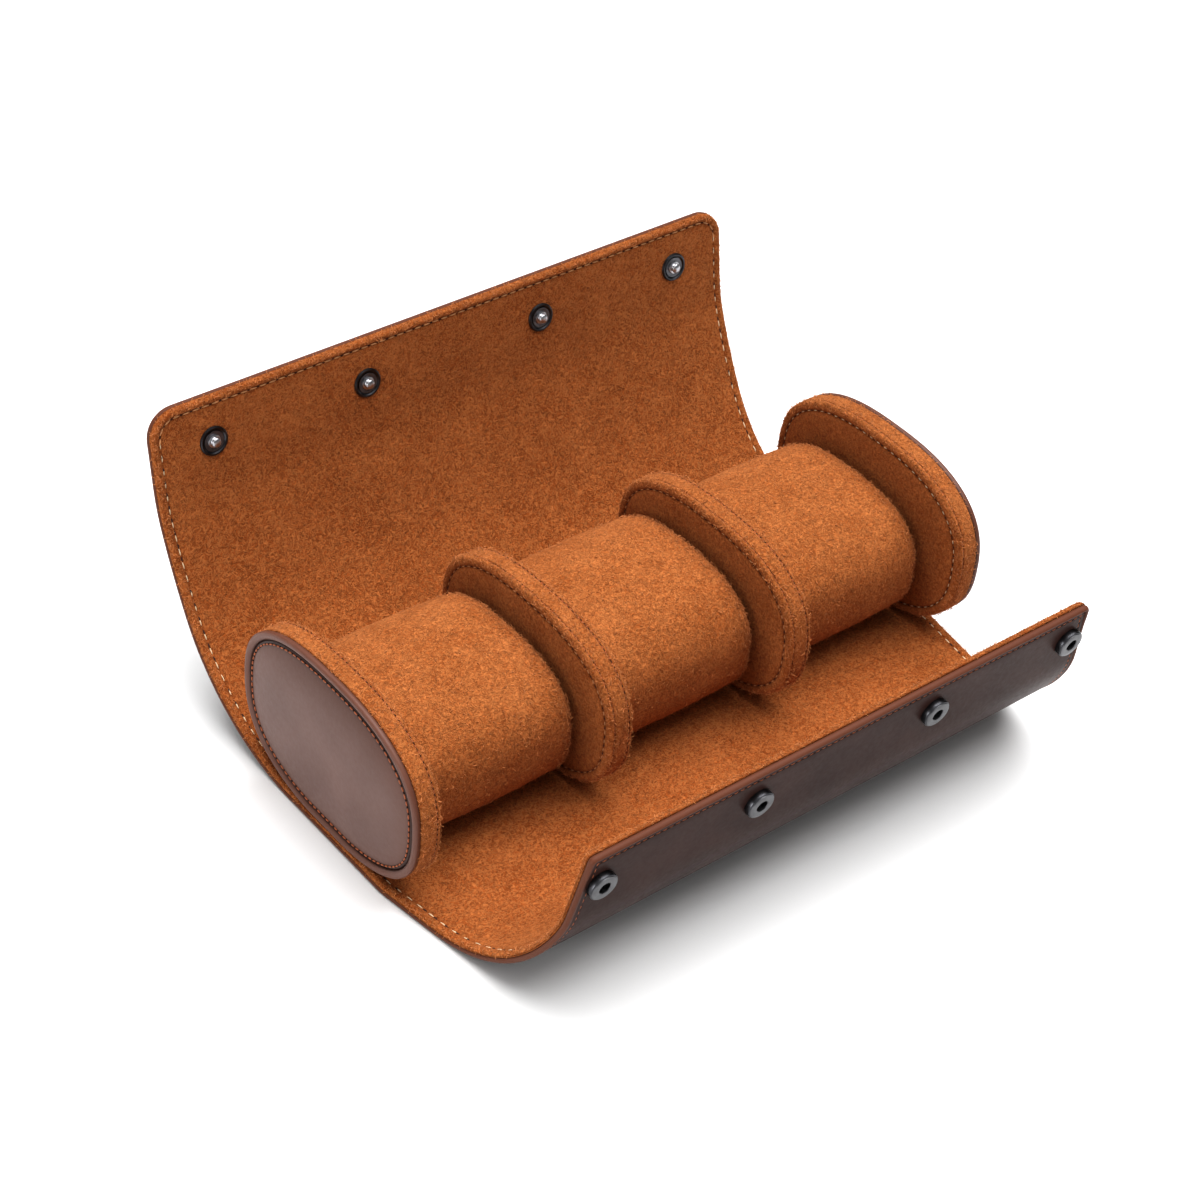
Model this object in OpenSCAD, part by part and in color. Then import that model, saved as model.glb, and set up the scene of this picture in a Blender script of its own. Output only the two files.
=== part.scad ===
// Watch roll for three watches: a stiffened wrap sewn under two oval end caps and two oval
// dividers, three lift-out cushions in the bays, and four press studs that close the wrap.
// Millimetres. X runs along the roll, +Y to the back, +Z up, and the underside rests on Z = 0.

/* [Roll] */
// Clear width of one bay between its two walls
bay_width = 59; // [50:0.5:70]
// Thickness of an end cap
cap_thickness = 8.6; // [7:0.1:12]
// Thickness of a divider
divider_thickness = 8.2; // [7:0.1:12]
// Half the depth of an end cap, front to back
cap_half_depth = 41.8; // [38:0.1:46]
// Half the height of an end cap
cap_half_height = 29; // [26:0.1:32]
// How much smaller a divider is than a cap, all round
divider_step = 1.4; // [0.5:0.1:3]
// Squareness of the ovals, where 2 is an ellipse
oval_power = 2.5; // [2.2:0.1:3]
// How far a cap or divider is pressed flat where it is sewn to the lining
seat_flat = 0.3; // [0.1:0.1:1]

/* [Wrap] */
// Thickness of the leather
leather_thickness = 1; // [0.8:0.1:1.6]
// Thickness of the stiffening board
board_thickness = 0.8; // [0.5:0.1:1.5]
// Thickness of the suede lining
lining_thickness = 1; // [0.6:0.1:1.6]
// How far the wrap stands past each end cap
wrap_overhang = 0.5; // [0:0.1:3]
// Width of the turned leather edge beyond the board
turned_edge = 5; // [3:0.5:8]
// Base, from the middle back to the first fold
base_back = 18; // [14:0.5:22]
// Base, from the middle forward to the first fold
base_front = 27; // [20:0.5:30]
// Gap between two panels along a fold
fold_gap = 0.3; // [0.2:0.1:0.6]

/* [Back flap] */
// Curved length of the first panel
back_curve_1 = 26.5; // [20:0.5:30]
// Curved length of the second panel
back_curve_2 = 36; // [30:0.5:40]
// Curved length of the third panel
back_curve_3 = 26; // [20:0.5:30]
// Curved length of the tip panel
back_curve_4 = 13; // [8:0.5:18]
// Flat length of the tip panel, which carries the studs
back_flat = 24; // [21:0.5:30]
// Bend of the first panel in degrees
back_bend_1_angle = 24; // [15:1:30]
// Bend of the second panel in degrees
back_bend_2_angle = 35; // [25:1:40]
// Bend of the third panel in degrees
back_bend_3_angle = 8; // [4:1:15]
// Bend of the tip panel in degrees
back_bend_4_angle = 13; // [5:1:18]
// Radius of the rounded corners
back_corner = 9; // [4:0.5:12]

/* [Front flap] */
// Flat length of the first panel, which lies on the table
front_floor = 20; // [15:0.5:24]
// Curved length of the second panel
front_curve_2 = 33; // [28:0.5:38]
// Curved length of the third panel
front_curve_3 = 21; // [16:0.5:26]
// Curved length of the tip panel
front_curve_4 = 7; // [5:0.5:12]
// Flat length of the tip panel, which carries the sockets
front_flat = 22; // [19:0.5:28]
// Bend of the second panel in degrees
front_bend_2_angle = 46; // [35:1:50]
// Bend of the third panel in degrees
front_bend_3_angle = 22; // [12:1:28]
// Bend of the tip panel in degrees
front_bend_4_angle = 14; // [6:1:18]
// How much narrower the front edge is, at each side
front_taper = 15; // [8:0.5:18]
// Radius of the front corners
front_corner = 2; // [1:0.5:5]

/* [Covers] */
// Thickness of the leather on an end cap
cap_leather = 1.5; // [1:0.1:2]
// Width of the rolled leather rim of an end cap
rim_width = 2.6; // [2:0.1:3.5]
// How far the rolled rim stands proud of the leather
rim_rise = 0.5; // [0.2:0.1:1]
// Thickness of the suede on the faces of caps and dividers
face_suede = 1.5; // [1:0.1:2.5]
// Thickness of the suede round the edge of caps and dividers
edge_suede = 1.2; // [0.8:0.1:2]
// Softening of the suede edges
suede_round = 1; // [0.4:0.1:1.2]

/* [Cushion] */
// Half the depth of a cushion, front to back
cushion_half_depth = 33; // [28:0.5:35]
// Half the height of a cushion
cushion_half_height = 22.3; // [19:0.1:23]
// How far a cushion sits behind the middle
cushion_back = 3.8; // [0:0.1:5]
// Gap between a cushion and each wall of its bay
cushion_gap = 1.1; // [0.6:0.1:2]
// Gap between a cushion and the lining below it
cushion_clearance = 0.4; // [0.3:0.1:1]
// Rounding of the ends of a cushion
cushion_round = 4; // [2:0.5:6]
// How far the ends are drawn in below the crown
cushion_crown = 0.9; // [0.2:0.1:1.2]
// Thickness of the suede sleeve over the foam
sleeve_thickness = 2; // [1.5:0.1:3]

/* [Press studs] */
// Outer studs, from the side edge of the wrap
stud_from_side = 20; // [18.8:0.1:30]
// Inner studs, from the middle of a divider towards the middle of the roll
stud_from_divider = 1.2; // [-5:0.1:12]
// Studs, from the edge of the back flap
stud_from_edge = 14.5; // [11:0.1:16]
// Sockets, from the edge of the front flap
socket_from_edge = 12; // [8:0.1:14]
// Diameter of the dish round a stud
dish_diameter = 9.2; // [8:0.1:11]
// Height of the rim of the dish
dish_height = 0.6; // [0.4:0.1:1]
// Thickness of the floor of the dish
dish_floor = 0.3; // [0.2:0.05:0.35]
// Width of the rim of the dish
dish_rim = 0.9; // [0.5:0.1:1.3]
// Diameter of the rounded head of a stud
ball_diameter = 3.2; // [2.6:0.1:4]
// Height of the rounded head of a stud
ball_height = 1.5; // [1:0.1:1.6]
// Diameter of the neck under the head
neck_diameter = 2.4; // [1.8:0.1:2.5]
// Height of a stud above the lining
stud_height = 2.4; // [2:0.1:2.6]
// Diameter of a socket
socket_diameter = 9; // [8:0.1:11]
// Height of a socket above the leather
socket_height = 2.2; // [2.1:0.1:3]
// Thickness of the floor of a socket
socket_floor = 0.3; // [0.2:0.05:0.4]
// Bevel round the face of a socket
socket_bevel = 0.4; // [0.2:0.1:0.8]
// Play of the head in the socket, all round
ball_play = 0.3; // [0.2:0.05:0.5]
// Diameter of the rivets through the wrap
rivet_diameter = 3; // [2:0.1:4]
// Play of a rivet in its hole, all round
rivet_play = 0.1; // [0.05:0.05:0.3]
// Diameter of the domed caps behind the studs
stud_cap_diameter = 10; // [8:0.1:12]
// Thickness of the edge of a domed cap
stud_cap_edge = 0.5; // [0.3:0.1:1]
// Rise of the dome of a domed cap
stud_cap_dome = 0.9; // [0.5:0.1:1.5]
// Diameter of the flange behind a socket
flange_diameter = 8; // [6:0.1:10]
// Thickness of the flange behind a socket
flange_thickness = 0.4; // [0.3:0.1:0.6]

/* [Hidden] */

// Overrun of every cut past the face that it leaves by
overrun = 1;
// Sides of round fittings and curved panels
$fn = 64;
// Points round an oval
oval_points = 64;
// Steps of a rounded edge
round_steps = 3;
// Steps of a rounded corner of a flap
corner_steps = 8;
// Steps across the rolled rim of an end cap
rim_steps = 5;

suede_colour = [0.69, 0.36, 0.15];
leather_colour = [0.44, 0.33, 0.31];
board_colour = [0.62, 0.58, 0.52];
foam_colour = [0.93, 0.89, 0.80];
metal_colour = [0.30, 0.31, 0.33];

wrap_thickness = leather_thickness + board_thickness + lining_thickness;
roll_length = 2 * cap_thickness + 2 * divider_thickness + 3 * bay_width;
half_width = roll_length / 2 + wrap_overhang;
divider_half_depth = cap_half_depth - divider_step;
divider_half_height = cap_half_height - divider_step;
bay_pitch = bay_width + divider_thickness;
cushion_length = bay_width - 2 * cushion_gap;
stud_outer_x = half_width - stud_from_side;
stud_inner_x = bay_pitch / 2 - stud_from_divider;
stud_places = [-stud_outer_x, -stud_inner_x, stud_inner_x, stud_outer_x];

// Depths below the inner face at which the layers of the wrap meet
board_top = lining_thickness;
board_bottom = lining_thickness + board_thickness;

// A flap is its fold at the base, then the curves, bends and flats of its panels, and its taper
BACK = [
    base_back,
    [back_curve_1, back_curve_2, back_curve_3, back_curve_4],
    [back_bend_1_angle, back_bend_2_angle, back_bend_3_angle, back_bend_4_angle],
    [0, 0, 0, back_flat],
    0,
    back_corner
];
FRONT = [
    base_front,
    [0, front_curve_2, front_curve_3, front_curve_4],
    [0, front_bend_2_angle, front_bend_3_angle, front_bend_4_angle],
    [front_floor, 0, 0, front_flat],
    front_taper,
    front_corner
];
TIP = 3;

function total(v, n) = n == 0 ? 0 : v[n - 1] + total(v, n - 1);
function radius(flap, i) = flap[1][i] / (flap[2][i] * PI / 180);
function heading(flap, i) = total(flap[2], i);
// Distance along the inner face from the base's fold to the start of panel i
function along(flap, i) = total(flap[1], i) + total(flap[3], i);
// Half the width of a flap at a distance along it
function half_at(flap, s) = half_width - flap[4] * s / along(flap, TIP + 1);
// Where the curved part of panel i ends, in the panel's own frame
function curve_end(flap, i) = flap[1][i] == 0 ? [0, 0] :
    radius(flap, i) * [sin(flap[2][i]), 1 - cos(flap[2][i])];
function turned(p, angle) = [p[0] * cos(angle) - p[1] * sin(angle), p[0] * sin(angle) + p[1] * cos(angle)];
// Where panel i ends, in its own frame
function panel_end(flap, i) = curve_end(flap, i) + turned([flap[3][i], 0], flap[2][i]);
// Where panel i starts, as distance from the middle and height
function panel_start(flap, i) = i == 0 ? [flap[0], wrap_thickness] :
    panel_start(flap, i - 1) + turned(panel_end(flap, i - 1), heading(flap, i - 1));

// Points of an oval outline
function power_of(c) = sign(c) * pow(abs(c), 2 / oval_power);
// An oval outline, cut off level below the lowest height given
function oval(half_y, half_z, lowest) = [
    for (k = [0:oval_points - 1])
        let (a = k * 360 / oval_points)
            [half_y * power_of(cos(a)), max(half_z * power_of(sin(a)), lowest)]
];

// Rings of oval outline joined into one closed solid; each ring is its X and its two half sizes
module oval_loft(rings, lowest) {
    last = len(rings) - 1;
    points = [for (r = rings, p = oval(r[1], r[2], lowest)) [r[0], p[0], p[1]]];
    sides = [
        for (j = [0:last - 1], k = [0:oval_points - 1])
            let (a = j * oval_points + k, b = j * oval_points + (k + 1) % oval_points)
                each [[a, b + oval_points, b], [a, a + oval_points, b + oval_points]]
    ];
    first_end = [for (k = [1:oval_points - 2]) [0, k, k + 1]];
    top = last * oval_points;
    last_end = [for (k = [1:oval_points - 2]) [top, top + k + 1, top + k]];
    polyhedron(points = points, faces = concat(sides, first_end, last_end));
}

// Plain oval slab from one X to another
module oval_slab(half_y, half_z, lowest, x_from, x_to) {
    translate([x_from, 0, 0])
        rotate([90, 0, 90])
            linear_extrude(x_to - x_from)
                polygon(oval(half_y, half_z, lowest));
}

// Lowest height of a cap or divider, measured from its own middle
function pressed(half_z) = seat_flat - half_z;

// Stands a cap or divider, made round its own middle, on the lining
module seated(half_z) {
    translate([0, 0, wrap_thickness - pressed(half_z)])
        children();
}

// Seen from one end of the roll, the other end is its mirror image
module at_side(side) {
    mirror([side < 0 ? 1 : 0, 0, 0])
        children();
}

// Outline of a panel, narrowing from one half width to the other, with rounded far corners
module panel_outline(half_from, half_to, length, corner) {
    lean = atan((half_from - half_to) / length);
    centre = [half_to - corner * (1 - sin(lean)) / cos(lean), length - corner];
    right_corner = corner == 0 ? [[half_to, length]] : [
        for (k = [0:corner_steps])
            let (a = lean + k * (90 - lean) / corner_steps)
                centre + corner * [cos(a), sin(a)]
    ];
    left_corner = [for (k = [len(right_corner) - 1:-1:0]) [-right_corner[k][0], right_corner[k][1]]];
    polygon(concat([[-half_from, 0], [half_from, 0]], right_corner, left_corner));
}

// One layer of a panel between two depths, in the panel's own frame. The inset narrows the sides
// and the free edge, and the skip leaves the gaps along the folds. It is made round the line where
// its curve ends, and its sides are cut square to its flat stretch, or to its chord if it has none.
module panel_layer(flap, i, top, bottom, inset, skip) {
    bend = flap[2][i];
    curve = flap[1][i];
    flat = flap[3][i];
    lean = flat > 0 ? bend : bend / 2;
    curve_reach = turned(curve_end(flap, i), -lean)[0];
    reach = turned(panel_end(flap, i), -lean)[0];
    half_from = half_at(flap, along(flap, i)) - inset;
    half_to = half_at(flap, along(flap, i + 1)) - inset;
    narrowing = (half_from - half_to) / reach;
    past_end = i == TIP ? -inset : wrap_thickness;
    corner = i == TIP ? max(flap[5] - inset, 0) : 0;
    height = curve > 0 ? radius(flap, i) : 2 * wrap_thickness;
    translate([0, curve_end(flap, i)[0], curve_end(flap, i)[1]])
        rotate([bend, 0, 0])
            intersection() {
                union() {
                    if (curve > 0) {
                        r = radius(flap, i);
                        skip_angle = skip / r * 180 / PI;
                        near_angle = flat > 0 ? 0 : skip_angle;
                        mirror([0, 1, 0])
                            translate([0, 0, r])
                                rotate([0, 90, 0])
                                    rotate([0, 0, near_angle])
                                        rotate_extrude(angle = bend - skip_angle - near_angle)
                                            translate([r + top, -half_width - overrun])
                                                square([bottom - top, 2 * (half_width + overrun)]);
                    }
                    if (flat > 0) {
                        near_end = curve > 0 ? 0 : skip;
                        far_end = i == TIP ? flat + overrun : flat - skip;
                        translate([-half_width - overrun, near_end, -bottom])
                            cube([2 * (half_width + overrun), far_end - near_end, bottom - top]);
                    }
                }
                rotate([lean - bend, 0, 0])
                    translate([0, -curve_reach - wrap_thickness, -height])
                        linear_extrude(2 * height)
                            panel_outline(
                                half_from + narrowing * wrap_thickness,
                                half_to - narrowing * past_end,
                                reach + wrap_thickness + past_end, corner
                            );
            }
}

// Moves a piece from a panel's own frame to its place on the back or front flap
module on_panel(flap, i, is_front) {
    mirror([0, is_front ? 1 : 0, 0])
        translate([0, panel_start(flap, i)[0], panel_start(flap, i)[1]])
            rotate([heading(flap, i), 0, 0])
                children();
}

// Moves a fitting to each of the four places on a flap's tip, with +Z out of its inner face
module at_studs(flap, is_front, from_edge) {
    on_panel(flap, TIP, is_front)
        translate([0, panel_end(flap, TIP)[0], panel_end(flap, TIP)[1]])
            rotate([flap[2][TIP], 0, 0])
                for (x = stud_places) {
                    translate([x, -from_edge, 0])
                        children();
                }
}

// The four rivet holes through a flap's tip
module rivet_holes(flap, is_front) {
    at_studs(flap, is_front, is_front ? socket_from_edge : stud_from_edge)
        translate([0, 0, -wrap_thickness - overrun])
            cylinder(d = rivet_diameter + 2 * rivet_play, h = wrap_thickness + 2 * overrun);
}

module flap_lining(flap, i, is_front) {
    color(suede_colour)
        difference() {
            on_panel(flap, i, is_front)
                panel_layer(flap, i, 0, board_top, 0, fold_gap / 2);
            if (i == TIP) rivet_holes(flap, is_front);
        }
}

module flap_board(flap, i, is_front) {
    color(board_colour)
        difference() {
            on_panel(flap, i, is_front)
                panel_layer(flap, i, board_top, board_bottom, turned_edge, fold_gap / 2);
            if (i == TIP) rivet_holes(flap, is_front);
        }
}

// The leather is turned in round the board, so the board lies in a pocket of it
module flap_leather(flap, i, is_front) {
    color(leather_colour)
        difference() {
            on_panel(flap, i, is_front)
                panel_layer(flap, i, board_top, wrap_thickness, 0, fold_gap / 2);
            on_panel(flap, i, is_front)
                panel_layer(flap, i, 0, board_bottom, turned_edge, 0);
            if (i == TIP) rivet_holes(flap, is_front);
        }
}

module base_layer(top, bottom, inset, skip) {
    translate([-half_width + inset, -base_front + skip, wrap_thickness - bottom])
        cube([2 * (half_width - inset), base_front + base_back - 2 * skip, bottom - top]);
}

module base_lining() {
    color(suede_colour)
        base_layer(0, board_top, 0, fold_gap / 2);
}

module base_board() {
    color(board_colour)
        base_layer(board_top, board_bottom, turned_edge, fold_gap / 2);
}

module base_leather() {
    color(leather_colour)
        difference() {
            base_layer(board_top, wrap_thickness, 0, fold_gap / 2);
            base_layer(0, board_bottom, turned_edge, 0);
        }
}

// Leather of an end cap, inside its rolled rim
module cap_leather_face(side) {
    color(leather_colour)
        at_side(side)
            seated(cap_half_height)
                oval_slab(
                    cap_half_depth - rim_width, cap_half_height - rim_width, pressed(cap_half_height),
                    roll_length / 2 - cap_leather, roll_length / 2
                );
}

// Rolled rim: a half round, swept round the cap, standing proud of the leather
module cap_rim(side) {
    rise = cap_leather + rim_rise;
    arch = [
        for (k = [0:rim_steps])
            let (a = k * 180 / rim_steps)
                [rim_width / 2 * (1 - cos(a)), cap_leather / 2 + (rise - cap_leather / 2) * sin(a)]
    ];
    section = concat([[0, 0]], arch, [[rim_width, 0]]);
    n = len(section);
    points = [
        for (k = [0:oval_points - 1], q = section)
            let (p = oval(cap_half_depth - q[0], cap_half_height - q[0], pressed(cap_half_height))[k])
                [roll_length / 2 - cap_leather + q[1], p[0], p[1]]
    ];
    faces = [
        for (k = [0:oval_points - 1], j = [0:n - 1])
            let (m = (k + 1) % oval_points, a = k * n + j, b = k * n + (j + 1) % n,
                 c = m * n + j, d = m * n + (j + 1) % n)
                each [[a, b, d], [a, d, c]]
    ];
    color(leather_colour)
        at_side(side)
            seated(cap_half_height)
                polyhedron(points = points, faces = faces);
}

// Suede band round the edge of a cap or divider, between its two faces
module edge_band(half_y, half_z, x_from, x_to) {
    seated(half_z)
        difference() {
            oval_slab(half_y, half_z, pressed(half_z), x_from, x_to);
            oval_slab(
                half_y - edge_suede, half_z - edge_suede, pressed(half_z) + edge_suede,
                x_from - overrun, x_to + overrun
            );
        }
}

module edge_core(half_y, half_z, x_from, x_to) {
    seated(half_z)
        oval_slab(
            half_y - edge_suede, half_z - edge_suede, pressed(half_z) + edge_suede,
            x_from, x_to
        );
}

// Suede face with a softened edge; its free side faces +X when the direction is 1
module suede_face(half_y, half_z, x_seam, direction) {
    rings = [
        for (k = [0:round_steps])
            let (a = k * 90 / round_steps, inset = suede_round * (1 - cos(a)))
                [face_suede - suede_round + suede_round * sin(a), half_y - inset, half_z - inset]
    ];
    seated(half_z)
        translate([x_seam, 0, 0])
            mirror([direction < 0 ? 1 : 0, 0, 0])
                oval_loft(concat([[0, half_y, half_z]], rings), pressed(half_z));
}

cap_band_outer = roll_length / 2 - cap_leather;
cap_band_inner = roll_length / 2 - cap_thickness + face_suede;

module cap_band(side) {
    color(suede_colour)
        at_side(side)
            edge_band(cap_half_depth, cap_half_height, cap_band_inner, cap_band_outer);
}

module cap_core(side) {
    color(board_colour)
        at_side(side)
            edge_core(cap_half_depth, cap_half_height, cap_band_inner, cap_band_outer);
}

module cap_suede(side) {
    color(suede_colour)
        at_side(side)
            suede_face(cap_half_depth, cap_half_height, cap_band_inner, -1);
}

// A divider's middle, at the side given
function divider_x(side) = side * bay_pitch / 2;
divider_band_half = divider_thickness / 2 - face_suede;

module divider_face(side, direction) {
    color(suede_colour)
        suede_face(
            divider_half_depth, divider_half_height,
            divider_x(side) + direction * divider_band_half, direction
        );
}

module divider_band(side) {
    color(suede_colour)
        edge_band(
            divider_half_depth, divider_half_height,
            divider_x(side) - divider_band_half, divider_x(side) + divider_band_half
        );
}

module divider_core(side) {
    color(board_colour)
        edge_core(
            divider_half_depth, divider_half_height,
            divider_x(side) - divider_band_half, divider_x(side) + divider_band_half
        );
}

// Moves a piece to the cushion in bay -1, 0 or 1
module in_bay(bay) {
    translate([bay * bay_pitch, cushion_back, wrap_thickness + cushion_clearance + cushion_half_height])
        children();
}

// The crown of a cushion: how far its surface is drawn in at a share of its half length
function drawn_in(u) = cushion_crown * u * u;
// Shares of the half length at which the crown has a ring
crown_shares = [0, 0.3, 0.6, 0.85];
// Half the length of the part between the rounded ends
cushion_straight = cushion_length / 2 - cushion_round;

// Rings of one half of a cushion, from its middle to its end
cushion_rings = concat(
    [
        for (u = crown_shares)
            [u * cushion_straight, cushion_half_depth - drawn_in(u), cushion_half_height - drawn_in(u)]
    ],
    [
        for (k = [0:round_steps])
            let (a = k * 90 / round_steps, inset = cushion_crown + cushion_round * (1 - cos(a)))
                [
                    cushion_straight + cushion_round * sin(a),
                    cushion_half_depth - inset,
                    cushion_half_height - inset
                ]
    ]
);

module foam_form() {
    oval_slab(
        cushion_half_depth - cushion_crown - sleeve_thickness,
        cushion_half_height - cushion_crown - sleeve_thickness,
        -cushion_half_height,
        -cushion_straight, cushion_straight
    );
}

module cushion_sleeve(bay) {
    last = len(cushion_rings) - 1;
    other_half = [for (k = [0:last - 1]) let (r = cushion_rings[last - k]) [-r[0], r[1], r[2]]];
    color(suede_colour)
        in_bay(bay)
            difference() {
                oval_loft(concat(other_half, cushion_rings), -cushion_half_height);
                foam_form();
            }
}

module cushion_foam(bay) {
    color(foam_colour)
        in_bay(bay)
            foam_form();
}

// Male stud: a dish with a raised rim, a neck with a rounded head, and a rivet through the wrap
module stud() {
    ball = ball_diameter / 2;
    neck = neck_diameter / 2;
    dish = dish_diameter / 2;
    ball_middle = stud_height - ball_height / 2;
    low = -acos(neck / ball);
    ball_outline = [
        for (k = [0:2 * round_steps])
            let (a = low + k * (90 - low) / (2 * round_steps))
                [ball * cos(a), ball_middle + ball_height / 2 * sin(a)]
    ];
    rotate_extrude()
        polygon(concat(
            [
                [0, -wrap_thickness],
                [rivet_diameter / 2, -wrap_thickness],
                [rivet_diameter / 2, 0],
                [dish, 0],
                [dish, dish_height],
                [dish - dish_rim, dish_height],
                [dish - dish_rim - dish_height + dish_floor, dish_floor],
                [neck, dish_floor]
            ],
            ball_outline
        ));
}

// Female socket, on the leather, with +Z into the wrap
module socket() {
    face = socket_diameter / 2;
    hole = ball_diameter / 2 + ball_play;
    rotate_extrude()
        polygon([
            [0, -socket_floor],
            [hole, -socket_floor],
            [hole, -socket_height],
            [face - socket_bevel, -socket_height],
            [face, socket_bevel - socket_height],
            [face, 0],
            [0, 0]
        ]);
}

// Domed cap behind a stud, with +Z into the wrap
module stud_cap() {
    edge = stud_cap_diameter / 2;
    dome = (edge * edge + stud_cap_dome * stud_cap_dome) / (2 * stud_cap_dome);
    spread = asin(edge / dome);
    outline = [
        for (k = [0:2 * round_steps])
            let (a = spread * (1 - k / (2 * round_steps)))
                [dome * sin(a), -stud_cap_edge - stud_cap_dome + dome * (1 - cos(a))]
    ];
    rotate_extrude()
        polygon(concat([[0, 0], [edge, 0]], outline));
}

// Flange behind a socket, with its rivet through the wrap
module socket_flange() {
    rotate_extrude()
        polygon([
            [0, -wrap_thickness],
            [rivet_diameter / 2, -wrap_thickness],
            [rivet_diameter / 2, 0],
            [flange_diameter / 2, 0],
            [flange_diameter / 2 - flange_thickness / 2, flange_thickness],
            [0, flange_thickness]
        ]);
}

module snap_studs() {
    color(metal_colour)
        at_studs(BACK, false, stud_from_edge)
            stud();
}

module snap_stud_caps() {
    color(metal_colour)
        at_studs(BACK, false, stud_from_edge)
            translate([0, 0, -wrap_thickness])
                stud_cap();
}

module snap_sockets() {
    color(metal_colour)
        at_studs(FRONT, true, socket_from_edge)
            translate([0, 0, -wrap_thickness])
                socket();
}

module snap_socket_flanges() {
    color(metal_colour)
        at_studs(FRONT, true, socket_from_edge)
            socket_flange();
}

base_leather();
base_board();
base_lining();
flap_leather(BACK, 0, false);  // back_panel_1_leather
flap_board(BACK, 0, false);  // back_panel_1_board
flap_lining(BACK, 0, false);  // back_panel_1_lining
flap_leather(BACK, 1, false);  // back_panel_2_leather
flap_board(BACK, 1, false);  // back_panel_2_board
flap_lining(BACK, 1, false);  // back_panel_2_lining
flap_leather(BACK, 2, false);  // back_panel_3_leather
flap_board(BACK, 2, false);  // back_panel_3_board
flap_lining(BACK, 2, false);  // back_panel_3_lining
flap_leather(BACK, TIP, false);  // back_tip_leather
flap_board(BACK, TIP, false);  // back_tip_board
flap_lining(BACK, TIP, false);  // back_tip_lining
flap_leather(FRONT, 0, true);  // front_panel_1_leather
flap_board(FRONT, 0, true);  // front_panel_1_board
flap_lining(FRONT, 0, true);  // front_panel_1_lining
flap_leather(FRONT, 1, true);  // front_panel_2_leather
flap_board(FRONT, 1, true);  // front_panel_2_board
flap_lining(FRONT, 1, true);  // front_panel_2_lining
flap_leather(FRONT, 2, true);  // front_panel_3_leather
flap_board(FRONT, 2, true);  // front_panel_3_board
flap_lining(FRONT, 2, true);  // front_panel_3_lining
flap_leather(FRONT, TIP, true);  // front_tip_leather
flap_board(FRONT, TIP, true);  // front_tip_board
flap_lining(FRONT, TIP, true);  // front_tip_lining
cap_leather_face(-1);  // left_cap_leather
cap_rim(-1);  // left_cap_rim
cap_band(-1);  // left_cap_band
cap_core(-1);  // left_cap_core
cap_suede(-1);  // left_cap_suede
cap_leather_face(1);  // right_cap_leather
cap_rim(1);  // right_cap_rim
cap_band(1);  // right_cap_band
cap_core(1);  // right_cap_core
cap_suede(1);  // right_cap_suede
divider_face(-1, -1);  // left_divider_left_face
divider_face(-1, 1);  // left_divider_right_face
divider_band(-1);  // left_divider_band
divider_core(-1);  // left_divider_core
divider_face(1, -1);  // right_divider_left_face
divider_face(1, 1);  // right_divider_right_face
divider_band(1);  // right_divider_band
divider_core(1);  // right_divider_core
cushion_sleeve(-1);  // left_cushion_sleeve
cushion_foam(-1);  // left_cushion_foam
cushion_sleeve(0);  // middle_cushion_sleeve
cushion_foam(0);  // middle_cushion_foam
cushion_sleeve(1);  // right_cushion_sleeve
cushion_foam(1);  // right_cushion_foam
snap_studs();
snap_stud_caps();
snap_sockets();
snap_socket_flanges();
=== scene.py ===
"""Dresses the watch roll: its suede and leather wrap, caps, dividers, cushions, stitches and press studs.

Sizes are in millimetres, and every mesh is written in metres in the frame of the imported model: X along
the roll, +Y to the back flap, +Z up. Depths of the wrap are measured outwards from its inner face.
"""

import logging
import math
from collections.abc import Sequence
from dataclasses import dataclass, field
from enum import Enum
from functools import cache

import bmesh
import bpy
import numpy as np
from mathutils import Matrix, Vector


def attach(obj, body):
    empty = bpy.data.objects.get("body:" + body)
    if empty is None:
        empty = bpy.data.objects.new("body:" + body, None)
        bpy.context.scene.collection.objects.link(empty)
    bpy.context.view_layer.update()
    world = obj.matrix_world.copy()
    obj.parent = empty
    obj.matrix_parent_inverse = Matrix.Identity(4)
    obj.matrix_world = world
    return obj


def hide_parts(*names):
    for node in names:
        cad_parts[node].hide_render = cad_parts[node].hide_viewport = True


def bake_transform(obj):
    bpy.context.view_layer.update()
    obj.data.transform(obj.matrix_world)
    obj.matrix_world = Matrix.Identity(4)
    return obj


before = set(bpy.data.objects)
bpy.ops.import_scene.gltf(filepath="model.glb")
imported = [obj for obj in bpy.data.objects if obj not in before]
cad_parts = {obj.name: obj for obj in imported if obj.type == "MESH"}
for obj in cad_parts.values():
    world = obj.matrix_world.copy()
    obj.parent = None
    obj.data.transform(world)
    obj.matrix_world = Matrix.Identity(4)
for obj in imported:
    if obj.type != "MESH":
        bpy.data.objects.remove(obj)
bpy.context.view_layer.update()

MM = 0.001
WRAP = 2.8          # thickness of the wrap
SEAT = 0.3          # how much the foot of a cap or divider is cut flat
BAY_PITCH = 67.2    # from the middle of one bay to the middle of the next
TIP = 3             # number of a flap's last sheet; sheet 0 starts in the base
DOUBLE = 0.002      # points nearer than this become one
FLAT_FACE = 0.001   # edges shorter than this are dissolved
TINY = 1e-6         # two places nearer than this are the same
log = logging.getLogger("watch_roll")

Node, Socket, Object = bpy.types.Node, bpy.types.NodeSocket, bpy.types.Object
Run = tuple[np.ndarray, np.ndarray]     # places in millimetres, and the direction out of the surface at each


class Side(Enum):
    """The two ends of the roll, each with its sign along X."""

    LEFT = -1
    RIGHT = 1


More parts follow.
